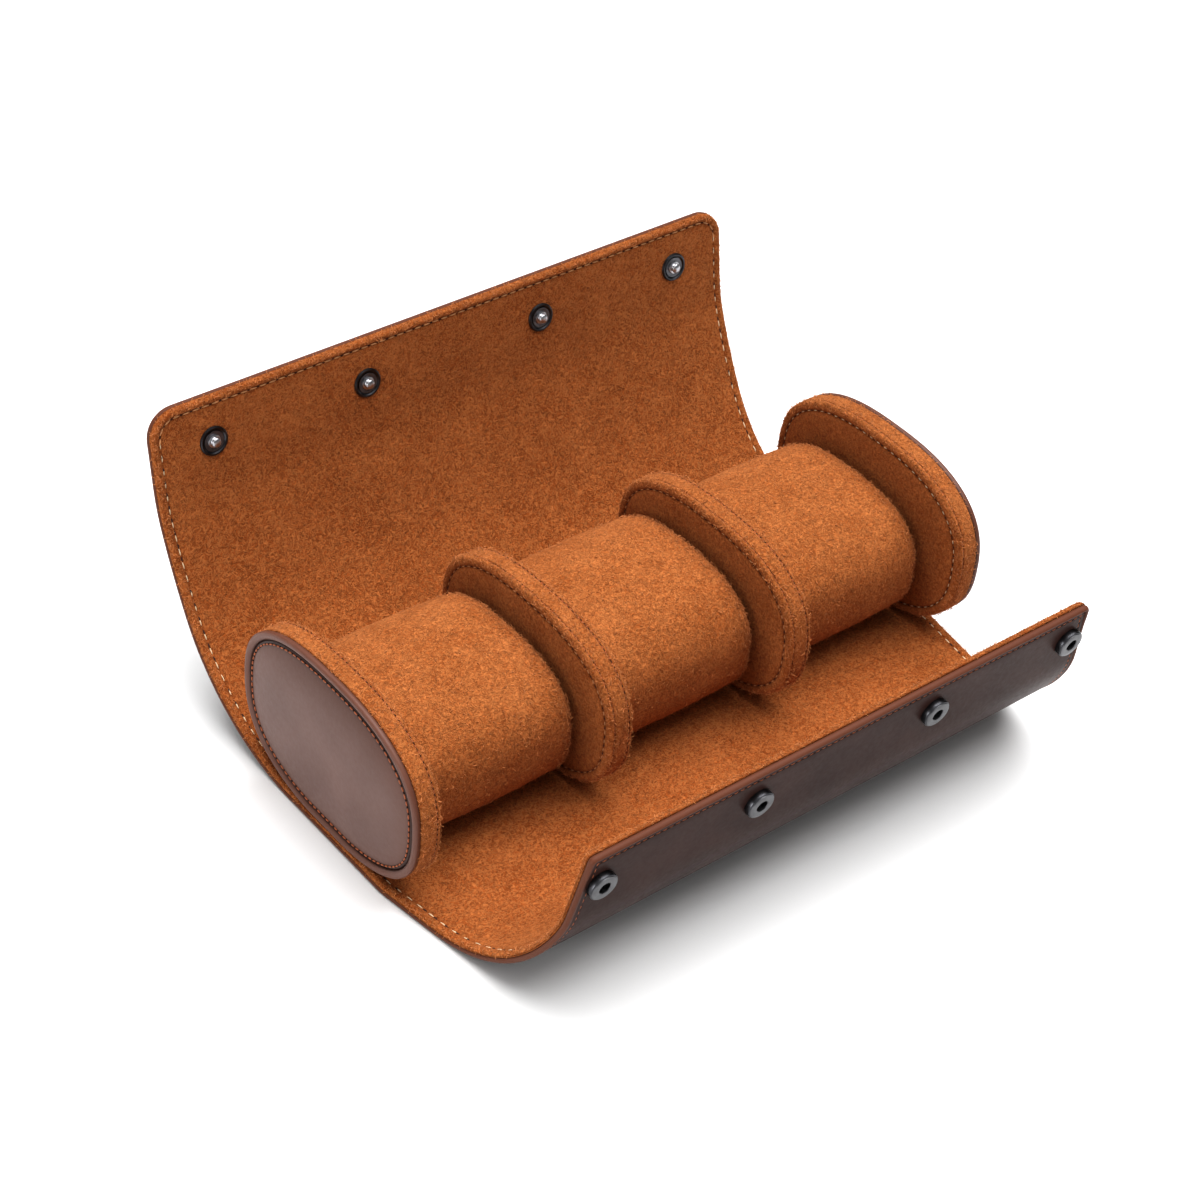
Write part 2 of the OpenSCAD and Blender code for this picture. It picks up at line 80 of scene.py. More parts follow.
class Tone(Enum):
    """Linear colours of the finishes."""

    SUEDE_LIGHT = (0.406, 0.139, 0.042)
    SUEDE_MID = (0.308, 0.090, 0.022)
    SUEDE_DEEP = (0.112, 0.021, 0.003)
    SUEDE_STRAND = (0.602, 0.238, 0.077)
    # The wrap's leather: a darker copy of the one leather, painted shade.
    LEATHER = (0.030, 0.012, 0.009)
    LEATHER_LIGHT = (0.050, 0.022, 0.017)
    # Painted shade: the dark tone laid in the leather's seam grooves and crevices.
    LEATHER_GROOVE = (0.025, 0.010, 0.007)
    # Burnished rolled edges, and painted shade on the cap's pad towards its rim and top.
    LEATHER_BURNISHED = (0.128, 0.047, 0.027)
    # The cap's padded leather: a lighter copy of the same leather, painted light.
    PAD = (0.112, 0.059, 0.047)
    PAD_LIGHT = (0.145, 0.081, 0.067)
    FIBRE = (0.50, 0.195, 0.066)
    THREAD_CREAM = (0.640, 0.496, 0.320)
    THREAD_TAN = (0.52, 0.25, 0.105)
    THREAD_RUST = (0.368, 0.100, 0.032)
    # Painted shade: the dark of the stitch holes between the threads.
    SLOT = (0.035, 0.010, 0.004)
    GUNMETAL = (0.055, 0.055, 0.060)
    PAN_METAL = (0.13, 0.13, 0.14)
    RING_METAL = (0.115, 0.115, 0.12)
    STEEL = (0.42, 0.42, 0.44)
    BOARD = (0.34, 0.29, 0.23)
    FOAM = (0.80, 0.74, 0.60)
    FLOOR = (0.76, 0.76, 0.76)
    WHITE = (1.0, 1.0, 1.0)


@dataclass
class Graph:
    """A node tree, filled one node at a time."""

    tree: bpy.types.NodeTree

    def put(self, socket: Socket, value: object) -> None:
        """Gives an input a constant or another node's output.

        Args:
            socket: The input.
            value: A constant, where a colour may have three parts, or an output.
        """
        if isinstance(value, Socket):
            self.tree.links.new(value, socket)
        elif socket.type == "RGBA" and len(value) == 3:
            socket.default_value = (*value, 1.0)
        else:
            socket.default_value = value

    def add(self, kind: str, values: dict[str | int, object] | None = None, **settings: object) -> Node:
        """Adds one node.

        Args:
            kind: Blender's name for the type of node.
            values: What its inputs are given, by their name or number.
            settings: Properties of the node.

        Returns:
            The new node.
        """
        node = self.tree.nodes.new(kind)
        for key, setting in settings.items():
            setattr(node, key, setting)
        for key, value in (values or {}).items():
            self.put(node.inputs[key], value)
        return node

    def take(self, kind: str, values: dict[str | int, object] | None = None, out: str | int = 0,
             **settings: object) -> Socket:
        """Adds one node, as add does, and gives one of its outputs."""
        return self.add(kind, values, **settings).outputs[out]

    def maths(self, kind: str, first: object, second: object = 0.0) -> Socket:
        """Adds one sum of two numbers or outputs."""
        return self.take("ShaderNodeMath", {0: first, 1: second}, operation=kind)

    def mix(self, kind: str, factor: object, first: object, second: object) -> Socket:
        """Mixes two colours by a factor; each of the three is a constant or an output."""
        values = {0: factor, 6: first, 7: second}       # the mix node's numbers for colours
        return self.take("ShaderNodeMix", values, 2, data_type="RGBA", blend_type=kind)

    def ramp(self, source: Socket, *stops: tuple[float, object]) -> Socket:
        """Adds a colour ramp.

        Args:
            source: What drives it.
            stops: Its stops, each a place on the ramp with a colour or a grey.

        Returns:
            The colour.
        """
        node = self.add("ShaderNodeValToRGB", {"Fac": source})
        elements = node.color_ramp.elements
        while len(elements) < len(stops):
            elements.new(0.5)
        for element, (place, colour) in zip(elements, stops):
            element.position = place
            element.color = (*np.broadcast_to(colour, 3), 1.0)
        return node.outputs["Color"]


class Shader(Graph):
    """A new material with a principled surface."""

    def __init__(self, name: str) -> None:
        """Makes the material.

        Args:
            name: Its name.
        """
        self.material = bpy.data.materials.new(name)
        self.material.use_nodes = True
        super().__init__(self.material.node_tree)
        self.tree.nodes.clear()
        self.surface = self.add("ShaderNodeBsdfPrincipled")
        self.add("ShaderNodeOutputMaterial", {"Surface": self.surface.outputs["BSDF"]})

    def set(self, **values: object) -> None:
        """Gives inputs of the surface; an underscore stands for a space in a socket's name."""
        for key, value in values.items():
            self.put(self.surface.inputs[key.replace("_", " ")], value)

    def places(self) -> Socket:
        """Object coordinates, in metres."""
        return self.take("ShaderNodeTexCoord", out="Object")

    def noise(self, scale: float, detail: float, distortion: float = 0.0) -> Socket:
        """Noise over the object's coordinates: waves in each metre, octaves, and how far it bends on itself."""
        values = {"Vector": self.places(), "Scale": scale, "Detail": detail, "Distortion": distortion}
        return self.take("ShaderNodeTexNoise", values)

    def mark(self, name: str, share: float) -> Socket:
        """A share of a mark that the mesh carries on its points."""
        return self.maths("MULTIPLY", self.take("ShaderNodeAttribute", out="Fac", attribute_name=name), share)

    def bump(self, height: Socket, strength: float, distance: float) -> None:
        """Puts a bump on the surface, its distance in millimetres."""
        values = {"Height": height, "Strength": strength, "Distance": distance * MM}
        self.set(Normal=self.take("ShaderNodeBump", values))


@dataclass(frozen=True)
class Suede:
    """Brushed microfibre suede: mottled patches, and short curled fibres; scales in waves per metre."""

    name: str
    patch_scale: float = 85.0
    fibre_scale: float = 540.0
    hollow_scale: float = 1.23      # beside the fibres' scale, as is the grain's
    grain_scale: float = 1.9
    fibre_bump: float = 0.20
    strand_width: float = 0.075
    strand_share: float = 0.40
    hollow_width: float = 0.060
    hollow_share: float = 0.46
    # Multiplies the tone; below 1 it is painted shade, a darker copy of the same suede.
    depth: tuple[float, float, float] = (1.0, 1.0, 1.0)
    # Share of painted shade: darker suede in seam grooves and along edges.
    edge_shade: float = 0.0
    roughness: float = 0.96
    specular: float = 0.08
    sheen: float = 0.2
    sheen_tint: tuple[float, float, float] = (1.0, 0.50, 0.22)

    def curls(self, shader: Shader, scale: float, width: float) -> Socket:
        """Adds thin curled lines, where noise crosses its middle.

        Args:
            shader: The material's tree.
            scale: Waves of the noise in each metre.
            width: Half width of a line, as a share of the noise's range.

        Returns:
            1 on a line and 0 away from it.
        """
        wave = shader.noise(scale, 1.5, 1.8)
        ridge = shader.maths("ABSOLUTE", shader.maths("SUBTRACT", wave, 0.5))
        return shader.ramp(ridge, (0.0, 1.0), (width * 0.5, 0.7), (width, 0.0))

    def make(self) -> bpy.types.Material:
        """Builds the material.

        Returns:
            The material.
        """
        shader = Shader(self.name)
        patches = shader.noise(self.patch_scale, 4.0, 0.6)
        tone = shader.ramp(patches, (0.30, Tone.SUEDE_MID.value), (0.72, Tone.SUEDE_LIGHT.value))
        strand = self.curls(shader, self.fibre_scale, self.strand_width)
        hollow = self.curls(shader, self.fibre_scale * self.hollow_scale, self.hollow_width)
        grain = shader.noise(self.fibre_scale * self.grain_scale, 3.0, 0.8)
        shade = shader.ramp(grain, (0.30, 0.55), (0.50, 0.88), (0.72, 1.15))
        colour = shader.mix("MULTIPLY", 1.0, shader.mix("MULTIPLY", 1.0, tone, self.depth), shade)
        for share, layer in (
            (shader.maths("MULTIPLY", hollow, self.hollow_share), Tone.SUEDE_DEEP),
            (shader.maths("MULTIPLY", strand, self.strand_share), Tone.SUEDE_STRAND),
            # Painted shade in seam grooves and along the edges.
            (shader.mark("groove", self.edge_shade), Tone.SUEDE_DEEP),
        ):
            colour = shader.mix("MIX", share, colour, layer.value)
        relief = shader.maths("MULTIPLY", shader.maths("SUBTRACT", strand, hollow), 0.6)
        shader.bump(shader.maths("ADD", relief, grain), 0.9, self.fibre_bump)
        shader.set(Base_Color=colour, Roughness=self.roughness, Specular_IOR_Level=self.specular)
        shader.set(Sheen_Weight=self.sheen, Sheen_Roughness=0.5, Sheen_Tint=self.sheen_tint)
        return shader.material


@dataclass(frozen=True)
class Leather:
    """Smooth satin leather with a fine tight grain, burnished where its edges are rolled; the same dark tone is
    painted shade on the cap's pad.
    """

    name: str
    tone: Tone = Tone.LEATHER
    light: Tone = Tone.LEATHER_LIGHT
    cloud_scale: float = 55.0
    grain_scale: float = 1500.0
    grain_bump: float = 0.035
    roughness: float = 0.42
    burnish: float = 0.9
    specular: float = 0.09

    def make(self) -> bpy.types.Material:
        """Builds the material.

        Returns:
            The material.
        """
        shader = Shader(self.name)
        clouds = shader.noise(self.cloud_scale, 3.0, 0.3)
        colour = shader.ramp(clouds, (0.3, self.tone.value), (0.75, self.light.value))
        # Burnished edges, and painted shade on the cap's pad near its rim and at its top.
        colour = shader.mix("MIX", shader.mark("burnish", self.burnish), colour, Tone.LEATHER_BURNISHED.value)
        # Painted shade in the leather's seam grooves and crevices.
        colour = shader.mix("MIX", shader.mark("groove", 0.85), colour, Tone.LEATHER_GROOVE.value)
        cells = shader.take("ShaderNodeTexVoronoi", {"Vector": shader.places(), "Scale": self.grain_scale},
                            feature="SMOOTH_F1")
        soft = shader.noise(self.grain_scale * 0.5, 3.0)
        shader.bump(shader.maths("ADD", cells, soft), 0.35, self.grain_bump)
        rough = shader.ramp(soft, (0.2, self.roughness - 0.06), (0.8, self.roughness + 0.08))
        shader.set(Base_Color=colour, Roughness=rough, Specular_IOR_Level=self.specular)
        return shader.material


@dataclass(frozen=True)
class Plain:
    """A finish with one tone and a fine irregular surface."""

    name: str
    tone: Tone
    roughness: float
    metallic: float = 0.0
    scale: float = 900.0
    spread: float = 0.15
    bump: float = 0.03

    def make(self) -> bpy.types.Material:
        """Builds the material.

        Returns:
            The material.
        """
        shader = Shader(self.name)
        grain = shader.noise(self.scale, 3.0)
        low, high = (np.minimum(np.array(self.tone.value) * k, 1.0) for k in (1 - self.spread, 1 + self.spread))
        shader.bump(grain, 0.4, self.bump)
        colour = shader.ramp(grain, (0.3, low), (0.7, high))
        shader.set(Base_Color=colour, Roughness=self.roughness, Metallic=self.metallic)
        return shader.material


class Finish(Enum):
    """Every finish of the roll, and the floor's."""

    SUEDE = Suede("suede")
    EDGING = Suede("suede_edging", edge_shade=0.8)
    # The lining is a darker copy of the same suede: painted shade for the inside of the wrap.
    LINING = Suede("suede_lining", depth=(0.86, 0.76, 0.66), edge_shade=0.8)
    # One leather in two copies: the wrap's darker, painted shade; the cap's pad lighter, painted light.
    LEATHER = Leather("taupe_leather")
    PAD = Leather("mauve_pad_leather", Tone.PAD, Tone.PAD_LIGHT, burnish=0.75, specular=0.25)
    FIBRE = Plain("suede_fibre", Tone.FIBRE, 0.9, scale=400.0, spread=0.35)
    CREAM = Plain("cream_thread", Tone.THREAD_CREAM, 0.7, scale=2500.0)
    TAN = Plain("tan_thread", Tone.THREAD_TAN, 0.7, scale=2500.0)
    RUST = Plain("rust_thread", Tone.THREAD_RUST, 0.65, scale=2500.0)
    SLOT = Plain("stitch_slot", Tone.SLOT, 0.95, scale=2500.0)
    GUNMETAL = Plain("gunmetal", Tone.GUNMETAL, 0.32, 1.0, 300.0, 0.25, 0.004)
    PAN = Plain("pan_metal", Tone.PAN_METAL, 0.46, 1.0, 300.0, 0.20, 0.004)
    RING = Plain("ring_metal", Tone.RING_METAL, 0.34, 1.0, 300.0, 0.20, 0.004)
    STEEL = Plain("polished_steel", Tone.STEEL, 0.34, 1.0, 300.0, 0.12, 0.003)
    BOARD = Plain("greyboard", Tone.BOARD, 0.9)
    FOAM = Plain("soft_foam", Tone.FOAM, 0.95, bump=0.1)
    FLOOR = Plain("pale_floor", Tone.FLOOR, 0.8, scale=3.0, spread=0.005, bump=0.0)

    @cache
    def material(self) -> bpy.types.Material:
        """The material, built when it is first asked for."""
        return self.value.make()


def placed(name: str, data: bpy.types.ID) -> Object:
    """Puts a mesh, light or camera in the scene.

    Args:
        name: Name of its object.
        data: The mesh, light or camera.

    Returns:
        The object, at the origin.
    """
    obj = bpy.data.objects.new(name, data)
    bpy.context.scene.collection.objects.link(obj)
    return obj


def piece(name: str, points: Sequence, faces: Sequence[Sequence[int]], finish: Finish, sharp: float = 50.0,
          marks: dict[str, np.ndarray] | None = None) -> Object:
    """Makes a closed mesh object, with doubled points merged and its faces turned outwards.

    Args:
        name: Name of the object.
        points: Places in millimetres.
        faces: Corners of each face.
        finish: Its finish.
        sharp: Angle in degrees past which an edge stays sharp.
        marks: Values from 0 to 1 for each point, by name: how much painted shade darkens it in grooves and
            crevices, and how burnished it is, together with the painted shade on the cap's pad.

    Returns:
        The new object, at the origin.
    """
    mesh = bpy.data.meshes.new(name)
    mesh.from_pydata((np.asarray(points, float) * MM).tolist(), [], [tuple(f) for f in faces])
    for mark, values in (marks or {}).items():
        layer = mesh.attributes.new(mark, "FLOAT", "POINT")
        layer.data.foreach_set("value", np.asarray(values, np.float32))
    bm = bmesh.new()
    bm.from_mesh(mesh)
    bmesh.ops.remove_doubles(bm, verts=bm.verts, dist=DOUBLE * MM)
    bmesh.ops.dissolve_degenerate(bm, edges=bm.edges, dist=FLAT_FACE * MM)
    bmesh.ops.recalc_face_normals(bm, faces=bm.faces)
    bm.to_mesh(mesh)
    bm.free()
    mesh.shade_smooth()
    mesh.set_sharp_from_angle(angle=math.radians(sharp))
    mesh.materials.append(finish.material())
    return placed(name, mesh)


def settle(obj: Object, slot: str, *nodes: str, body: str | None = None) -> None:
    """Hangs a finished piece on its body, hides the CAD nodes that it replaces, and logs its faces.

    Args:
        obj: The piece.
        slot: Not used.
        nodes: The CAD nodes that it replaces.
        body: The body that it rides on; none for a piece of the wrap.
    """
    if body:
        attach(obj, body)
    if nodes:
        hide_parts(*nodes)
    log.info("%s: %d faces", obj.name, len(obj.data.polygons))


def lengths(path: np.ndarray) -> np.ndarray:
    """How far along a path each of its points lies."""
    return np.concatenate([[0], np.cumsum(np.linalg.norm(np.diff(path, axis=0), axis=1))])


@dataclass
class Loft:
    """Points and faces of a surface made of rows or rings of points."""

    points: list = field(default_factory=list)
    faces: list = field(default_factory=list)

    def row(self, places: np.ndarray) -> list[int]:
        """Adds one row of points and gives their numbers."""
        self.points.extend(places)
        return list(range(len(self.points) - len(places), len(self.points)))

    def join(self, first: list[int], second: list[int]) -> None:
        """Joins two rows of the same length with quads."""
        self.faces.extend(zip(first, first[1:], second[1:], second))

    def cap(self, ring: list[int], centre: Sequence[float]) -> None:
        """Closes a ring with a fan to one point."""
        self.faces.extend((a, b, len(self.points)) for a, b in zip(ring, ring[1:] + ring[:1]))
        self.points.append(centre)

    def skin(self, rings: Sequence[np.ndarray], ends: Sequence[Sequence[float]] = ()) -> None:
        """Adds rings and joins them in turn, into a closed solid.

        Args:
            rings: Points of each ring.
            ends: Points in the middle of the first and the last ring; none if the last joins the first.
        """
        rows = [self.row(ring) for ring in rings]
        for first, second in zip(rows, rows[1:] if ends else rows[1:] + rows[:1]):
            self.join(first + first[:1], second + second[:1])
        if ends:
            self.cap(rows[0][::-1], ends[0])
            self.cap(rows[-1], ends[1])


@dataclass(frozen=True)
class Oval:
    """The outline shared by caps, dividers and cushions, in the YZ plane: a superellipse cut flat below."""

    half_depth: float
    half_height: float
    middle: tuple[float, float]
    flat: float = SEAT
    power: float = 2.5
    count: int = 240
    samples: int = 20001

    def outline(self) -> tuple[np.ndarray, np.ndarray]:
        """Sets out the whole oval round its middle.

        Returns:
            Places evenly spaced along it, and the outward normal at each.
        """
        turn = np.linspace(0, 2 * math.pi, self.samples)
        share = 2 / self.power
        y = self.half_depth * np.sign(np.cos(turn)) * np.abs(np.cos(turn)) ** share
        z = self.half_height * np.sign(np.sin(turn)) * np.abs(np.sin(turn)) ** share
        length = np.concatenate([[0], np.cumsum(np.hypot(np.diff(y), np.diff(z)))])
        at = np.linspace(0, length[-1], self.count, endpoint=False)
        y, z = np.interp(at, length, y), np.interp(at, length, z)
        lean = self.power - 1
        ny = np.sign(y) * np.abs(y / self.half_depth) ** lean / self.half_depth
        nz = np.sign(z) * np.abs(z / self.half_height) ** lean / self.half_height
        size = np.hypot(ny, nz)
        return np.stack([y, z], 1), np.stack([ny / size, nz / size], 1)

    def ring(self, x: float, inset: float, scale: float = 1.0) -> np.ndarray:
        """One ring of points.

        Args:
            x: Place along the roll.
            inset: Distance inside the outline.
            scale: Size of the ring beside the inset outline.

        Returns:
            One point for each place on the outline.
        """
        places, normals = self.outline()
        flat = places - inset * normals
        flat[:, 1] = np.maximum(flat[:, 1], -self.half_height + self.flat + inset) * scale
        flat[:, 0] *= scale
        return np.column_stack([np.full(len(flat), x), flat + np.array(self.middle)])

    def track(self, x: float, inset: float, pitch: float) -> tuple[np.ndarray, float]:
        """An open path round the outline whose two ends are one stitch apart.

        Args:
            x: Place along the roll.
            inset: Distance inside the outline.
            pitch: Wanted distance between stitches.

        Returns:
            The path, and the pitch that fits it.
        """
        ring = self.ring(x, inset)
        ring = np.vstack([ring, ring[:1]])
        length = lengths(ring)
        fitted = length[-1] / max(round(length[-1] / pitch), 3)
        at = np.linspace(0, length[-1] - fitted, 2 * self.count)
        return np.column_stack([np.interp(at, length, ring[:, axis]) for axis in range(3)]), fitted


class Recipe(Graph):
    """A Geometry Nodes tree with named inputs, which ends in real meshes in the material that it is given."""

    def __init__(self, name: str, inputs: dict[str, str]) -> None:
        """Makes the tree's inputs and output.

        Args:
            name: Name of the tree.
            inputs: The kind of each input beside the geometry and the material, by its name.
        """
        super().__init__(bpy.data.node_groups.new(name, "GeometryNodeTree"))
        face = self.tree.interface
        for label, kind in {"Geometry": "Geometry", **inputs, "Material": "Material"}.items():
            face.new_socket(label, in_out="INPUT", socket_type=f"NodeSocket{kind}")
        face.new_socket("Geometry", in_out="OUTPUT", socket_type="NodeSocketGeometry")
        self.given = self.add("NodeGroupInput").outputs

    def read(self, name: str, kind: str) -> Socket:
        """A value that the points carry."""
        return self.take("GeometryNodeInputNamedAttribute", {"Name": name}, "Attribute", data_type=kind)

    def finish(self, copies: Socket, is_smooth: bool = False) -> None:
        """Ends the tree.

        Args:
            copies: The instances that it has set out.
            is_smooth: Whether they are shaded smooth.
        """
        real = self.take("GeometryNodeRealizeInstances", {"Geometry": copies})
        if is_smooth:
            real = self.take("GeometryNodeSetShadeSmooth", {"Geometry": real})
        dress = {"Geometry": real, "Material": self.given["Material"]}
        self.add("NodeGroupOutput", {"Geometry": self.take("GeometryNodeSetMaterial", dress)})

    def run(self, name: str, source: Object, finish: Finish, **inputs: object) -> Object:
        """Runs the tree on an object and keeps the result as a plain mesh.

        Args:
            name: Name of the new object.
            source: Object that the tree reads; it is removed.
            finish: Finish of the new object.
            inputs: Values of the tree's inputs, by name.

        Returns:
            The new object.
        """
        inputs["Material"] = finish.material()
        modifier = source.modifiers.new("tree", "NODES")
        modifier.node_group = self.tree
        for item in self.tree.interface.items_tree:
            if item.in_out == "INPUT" and item.name in inputs:
                modifier[item.identifier] = inputs[item.name]
        source.update_tag()
        bpy.context.view_layer.update()
        evaluated = source.evaluated_get(bpy.context.evaluated_depsgraph_get())
        mesh = bpy.data.meshes.new_from_object(evaluated)
        mesh.name = name
        mesh.materials.clear()
        mesh.materials.append(inputs["Material"])
        source.modifiers.remove(modifier)
        bpy.data.objects.remove(source)
        return placed(name, mesh)


def guide(runs: Sequence[Run], is_path: bool = True) -> Object:
    """Makes the points that a tree sets things out on, each with its direction out of the surface.

    Args:
        runs: The runs of points.
        is_path: Whether edges join the points of a run.

    Returns:
        The object that the tree reads.
    """
    edges, start = [], 0
    for places, _ in runs:
        edges += [(start + k, start + k + 1) for k in range(len(places) - 1)] if is_path else []
        start += len(places)
    mesh = bpy.data.meshes.new("guide")
    mesh.from_pydata((np.concatenate([places for places, _ in runs]) * MM).tolist(), edges, [])
    layer = mesh.attributes.new("up", "FLOAT_VECTOR", "POINT")
    layer.data.foreach_set("vector", np.concatenate([up for _, up in runs]).astype(np.float32).ravel())
    return placed("guide", mesh)


@dataclass(frozen=True)
class Stitch:
    """One kind of stitch: its pitch, and the length, width and height of its thread and of its dark slot, a bead
    of painted shade where the thread dives into its holes.
    """

    pitch: float
    thread: tuple[float, float, float]
    slot: tuple[float, float, float]


@dataclass
class Sewing:
    """Lays rounded stitches along paths, and between them dark beads of painted shade, where the thread dives
    into its holes.
    """

    segments: int = 8
    rings: int = 6
    slack: float = 0.999    # share of the pitch, so that rounding loses no last stitch

    def __post_init__(self) -> None:
        """Builds the tree."""
        sizes = ("Length", "Width", "Height")
        self.recipe = Recipe("stitches_along_a_path", dict.fromkeys(("Pitch", "Trim", *sizes), "Float"))
        given, take = self.recipe.given, self.recipe.take
        curve = take("GeometryNodeMeshToCurve", {"Mesh": given["Geometry"]})
        length = take("GeometryNodeCurveLength", {"Curve": curve})
        end = self.recipe.maths("SUBTRACT", length, given["Trim"])
        # Inputs 4 and 5 are the start and the end as lengths.
        trimmed = take("GeometryNodeTrimCurve", {"Curve": curve, 4: given["Trim"], 5: end}, mode="LENGTH")
        places = take("GeometryNodeResampleCurve", {"Curve": trimmed, "Length": given["Pitch"]}, mode="LENGTH")
        along = {"Vector": take("GeometryNodeInputTangent")}
        lie = take("FunctionNodeAlignRotationToVector", along, axis="X")
        out = {"Rotation": lie, "Vector": self.recipe.read("up", "FLOAT_VECTOR")}
        stand = take("FunctionNodeAlignRotationToVector", out, axis="Z", pivot_axis="X")
        ball = {"Segments": self.segments, "Rings": self.rings, "Radius": 0.5}
        bead = {"Geometry": take("GeometryNodeMeshUVSphere", ball), "Rotation": (0.0, math.pi / 2, 0.0)}
        size = take("ShaderNodeCombineXYZ", {axis: given[size] for axis, size in zip("XYZ", sizes)})
        shape = take("GeometryNodeTransform", {"Geometry": take("GeometryNodeTransform", bead), "Scale": size})
        self.recipe.finish(take("GeometryNodeInstanceOnPoints",
                                {"Points": places, "Instance": shape, "Rotation": stand}), is_smooth=True)

    def sew(self, name: str, runs: Sequence[Run], stitch: Stitch, thread: Finish,
            pitch: float | None = None) -> list[Object]:
        """Lays the threads of one seam, and the dark beads of painted shade between them.

        Args:
            name: Name of the seam.
            runs: Its paths.
            stitch: Sizes of the stitches.
            thread: Finish of the thread.
            pitch: Pitch that fits the paths, if it isn't the stitch's own.

        Returns:
            The threads, then the beads of painted shade.
        """
        fitted = (pitch or stitch.pitch) * MM * self.slack
        made = []
        # The second pass lays dark beads of painted shade between the stitches.
        for word, size, finish, trim in (
            ("stitches", stitch.thread, thread, 0.0), ("slots", stitch.slot, Finish.SLOT, fitted / 2),
        ):
            length, width, height = (value * MM for value in size)
            made.append(self.recipe.run(f"{name}_{word}", guide(runs), finish, Pitch=fitted, Trim=trim,
                                        Length=length, Width=width, Height=height))
        return made


@dataclass
class Nap:
    """Grows the fuzz of the suede along its edges, in short curved fibres."""

    per_square: float = 1.1
    size: tuple[float, float, float] = (1.0, 1.0, 0.5)      # length, the same for the sideways bow, and rise
    bow: tuple[float, float, float] = (0.4, 0.1, 1.0)       # the fibre's bend and tip, as shares of its size
    tip: tuple[float, float, float] = (1.0, -0.15, 0.8)
    thickness: float = 0.075
    least: tuple[float, float, float] = (0.6, 0.8, 0.4)     # smallest and largest scale of a fibre
    most: tuple[float, float, float] = (1.2, 1.2, 1.3)
    tilt: float = 0.3
    seed: int = 7

    def __post_init__(self) -> None:
        """Builds the tree."""
        kinds = {"Density": "Float", "Thickness": "Float", "Middle": "Vector", "Tip": "Vector", "Seed": "Int"}
        self.recipe = Recipe("fibres_on_a_surface", kinds)
        given, take = self.recipe.given, self.recipe.take
        share = self.recipe.maths("MULTIPLY", self.recipe.read("nap", "FLOAT"), given["Density"])
        roots = self.recipe.add("GeometryNodeDistributePointsOnFaces", {
            "Mesh": given["Geometry"], "Density": share, "Seed": given["Seed"],
        }).outputs
        spine = take("GeometryNodeCurveQuadraticBezier", {
            "Resolution": 2, "Start": (0.0, 0.0, 0.0), "Middle": given["Middle"], "End": given["Tip"],
        })
        section = take("GeometryNodeCurvePrimitiveCircle", {"Resolution": 3, "Radius": given["Thickness"]})
        blade = take("GeometryNodeCurveToMesh", {"Curve": spine, "Profile Curve": section, "Fill Caps": True})
        size = take("FunctionNodeRandomValue", {"Min": self.least, "Max": self.most}, data_type="FLOAT_VECTOR")
        copies = take("GeometryNodeInstanceOnPoints", {
            "Points": roots["Points"], "Instance": blade, "Rotation": roots["Rotation"], "Scale": size,
        })
        spin = take("FunctionNodeRandomValue", {
            "Min": (-self.tilt, -self.tilt, 0.0), "Max": (self.tilt, self.tilt, 2 * math.pi),
            "Seed": given["Seed"],
        }, data_type="FLOAT_VECTOR")
        self.recipe.finish(take("GeometryNodeRotateInstances", {"Instances": copies, "Rotation": spin}))

    def grow(self, name: str, source: Object) -> Object:
        """Grows fibres where a piece's nap mark is above 0.

        Args:
            name: Name of the fibres.
            source: The piece that they grow on, which stays as it is.

        Returns:
            The fibres, as one piece.
        """
        self.seed += 1
        middle, tip = (tuple(k * size * MM for k, size in zip(at, self.size)) for at in (self.bow, self.tip))
        return self.recipe.run(name, placed("under", source.data.copy()), Finish.FIBRE, Seed=self.seed,
                               Density=self.per_square / MM ** 2, Thickness=self.thickness * MM,
                               Middle=middle, Tip=tip)


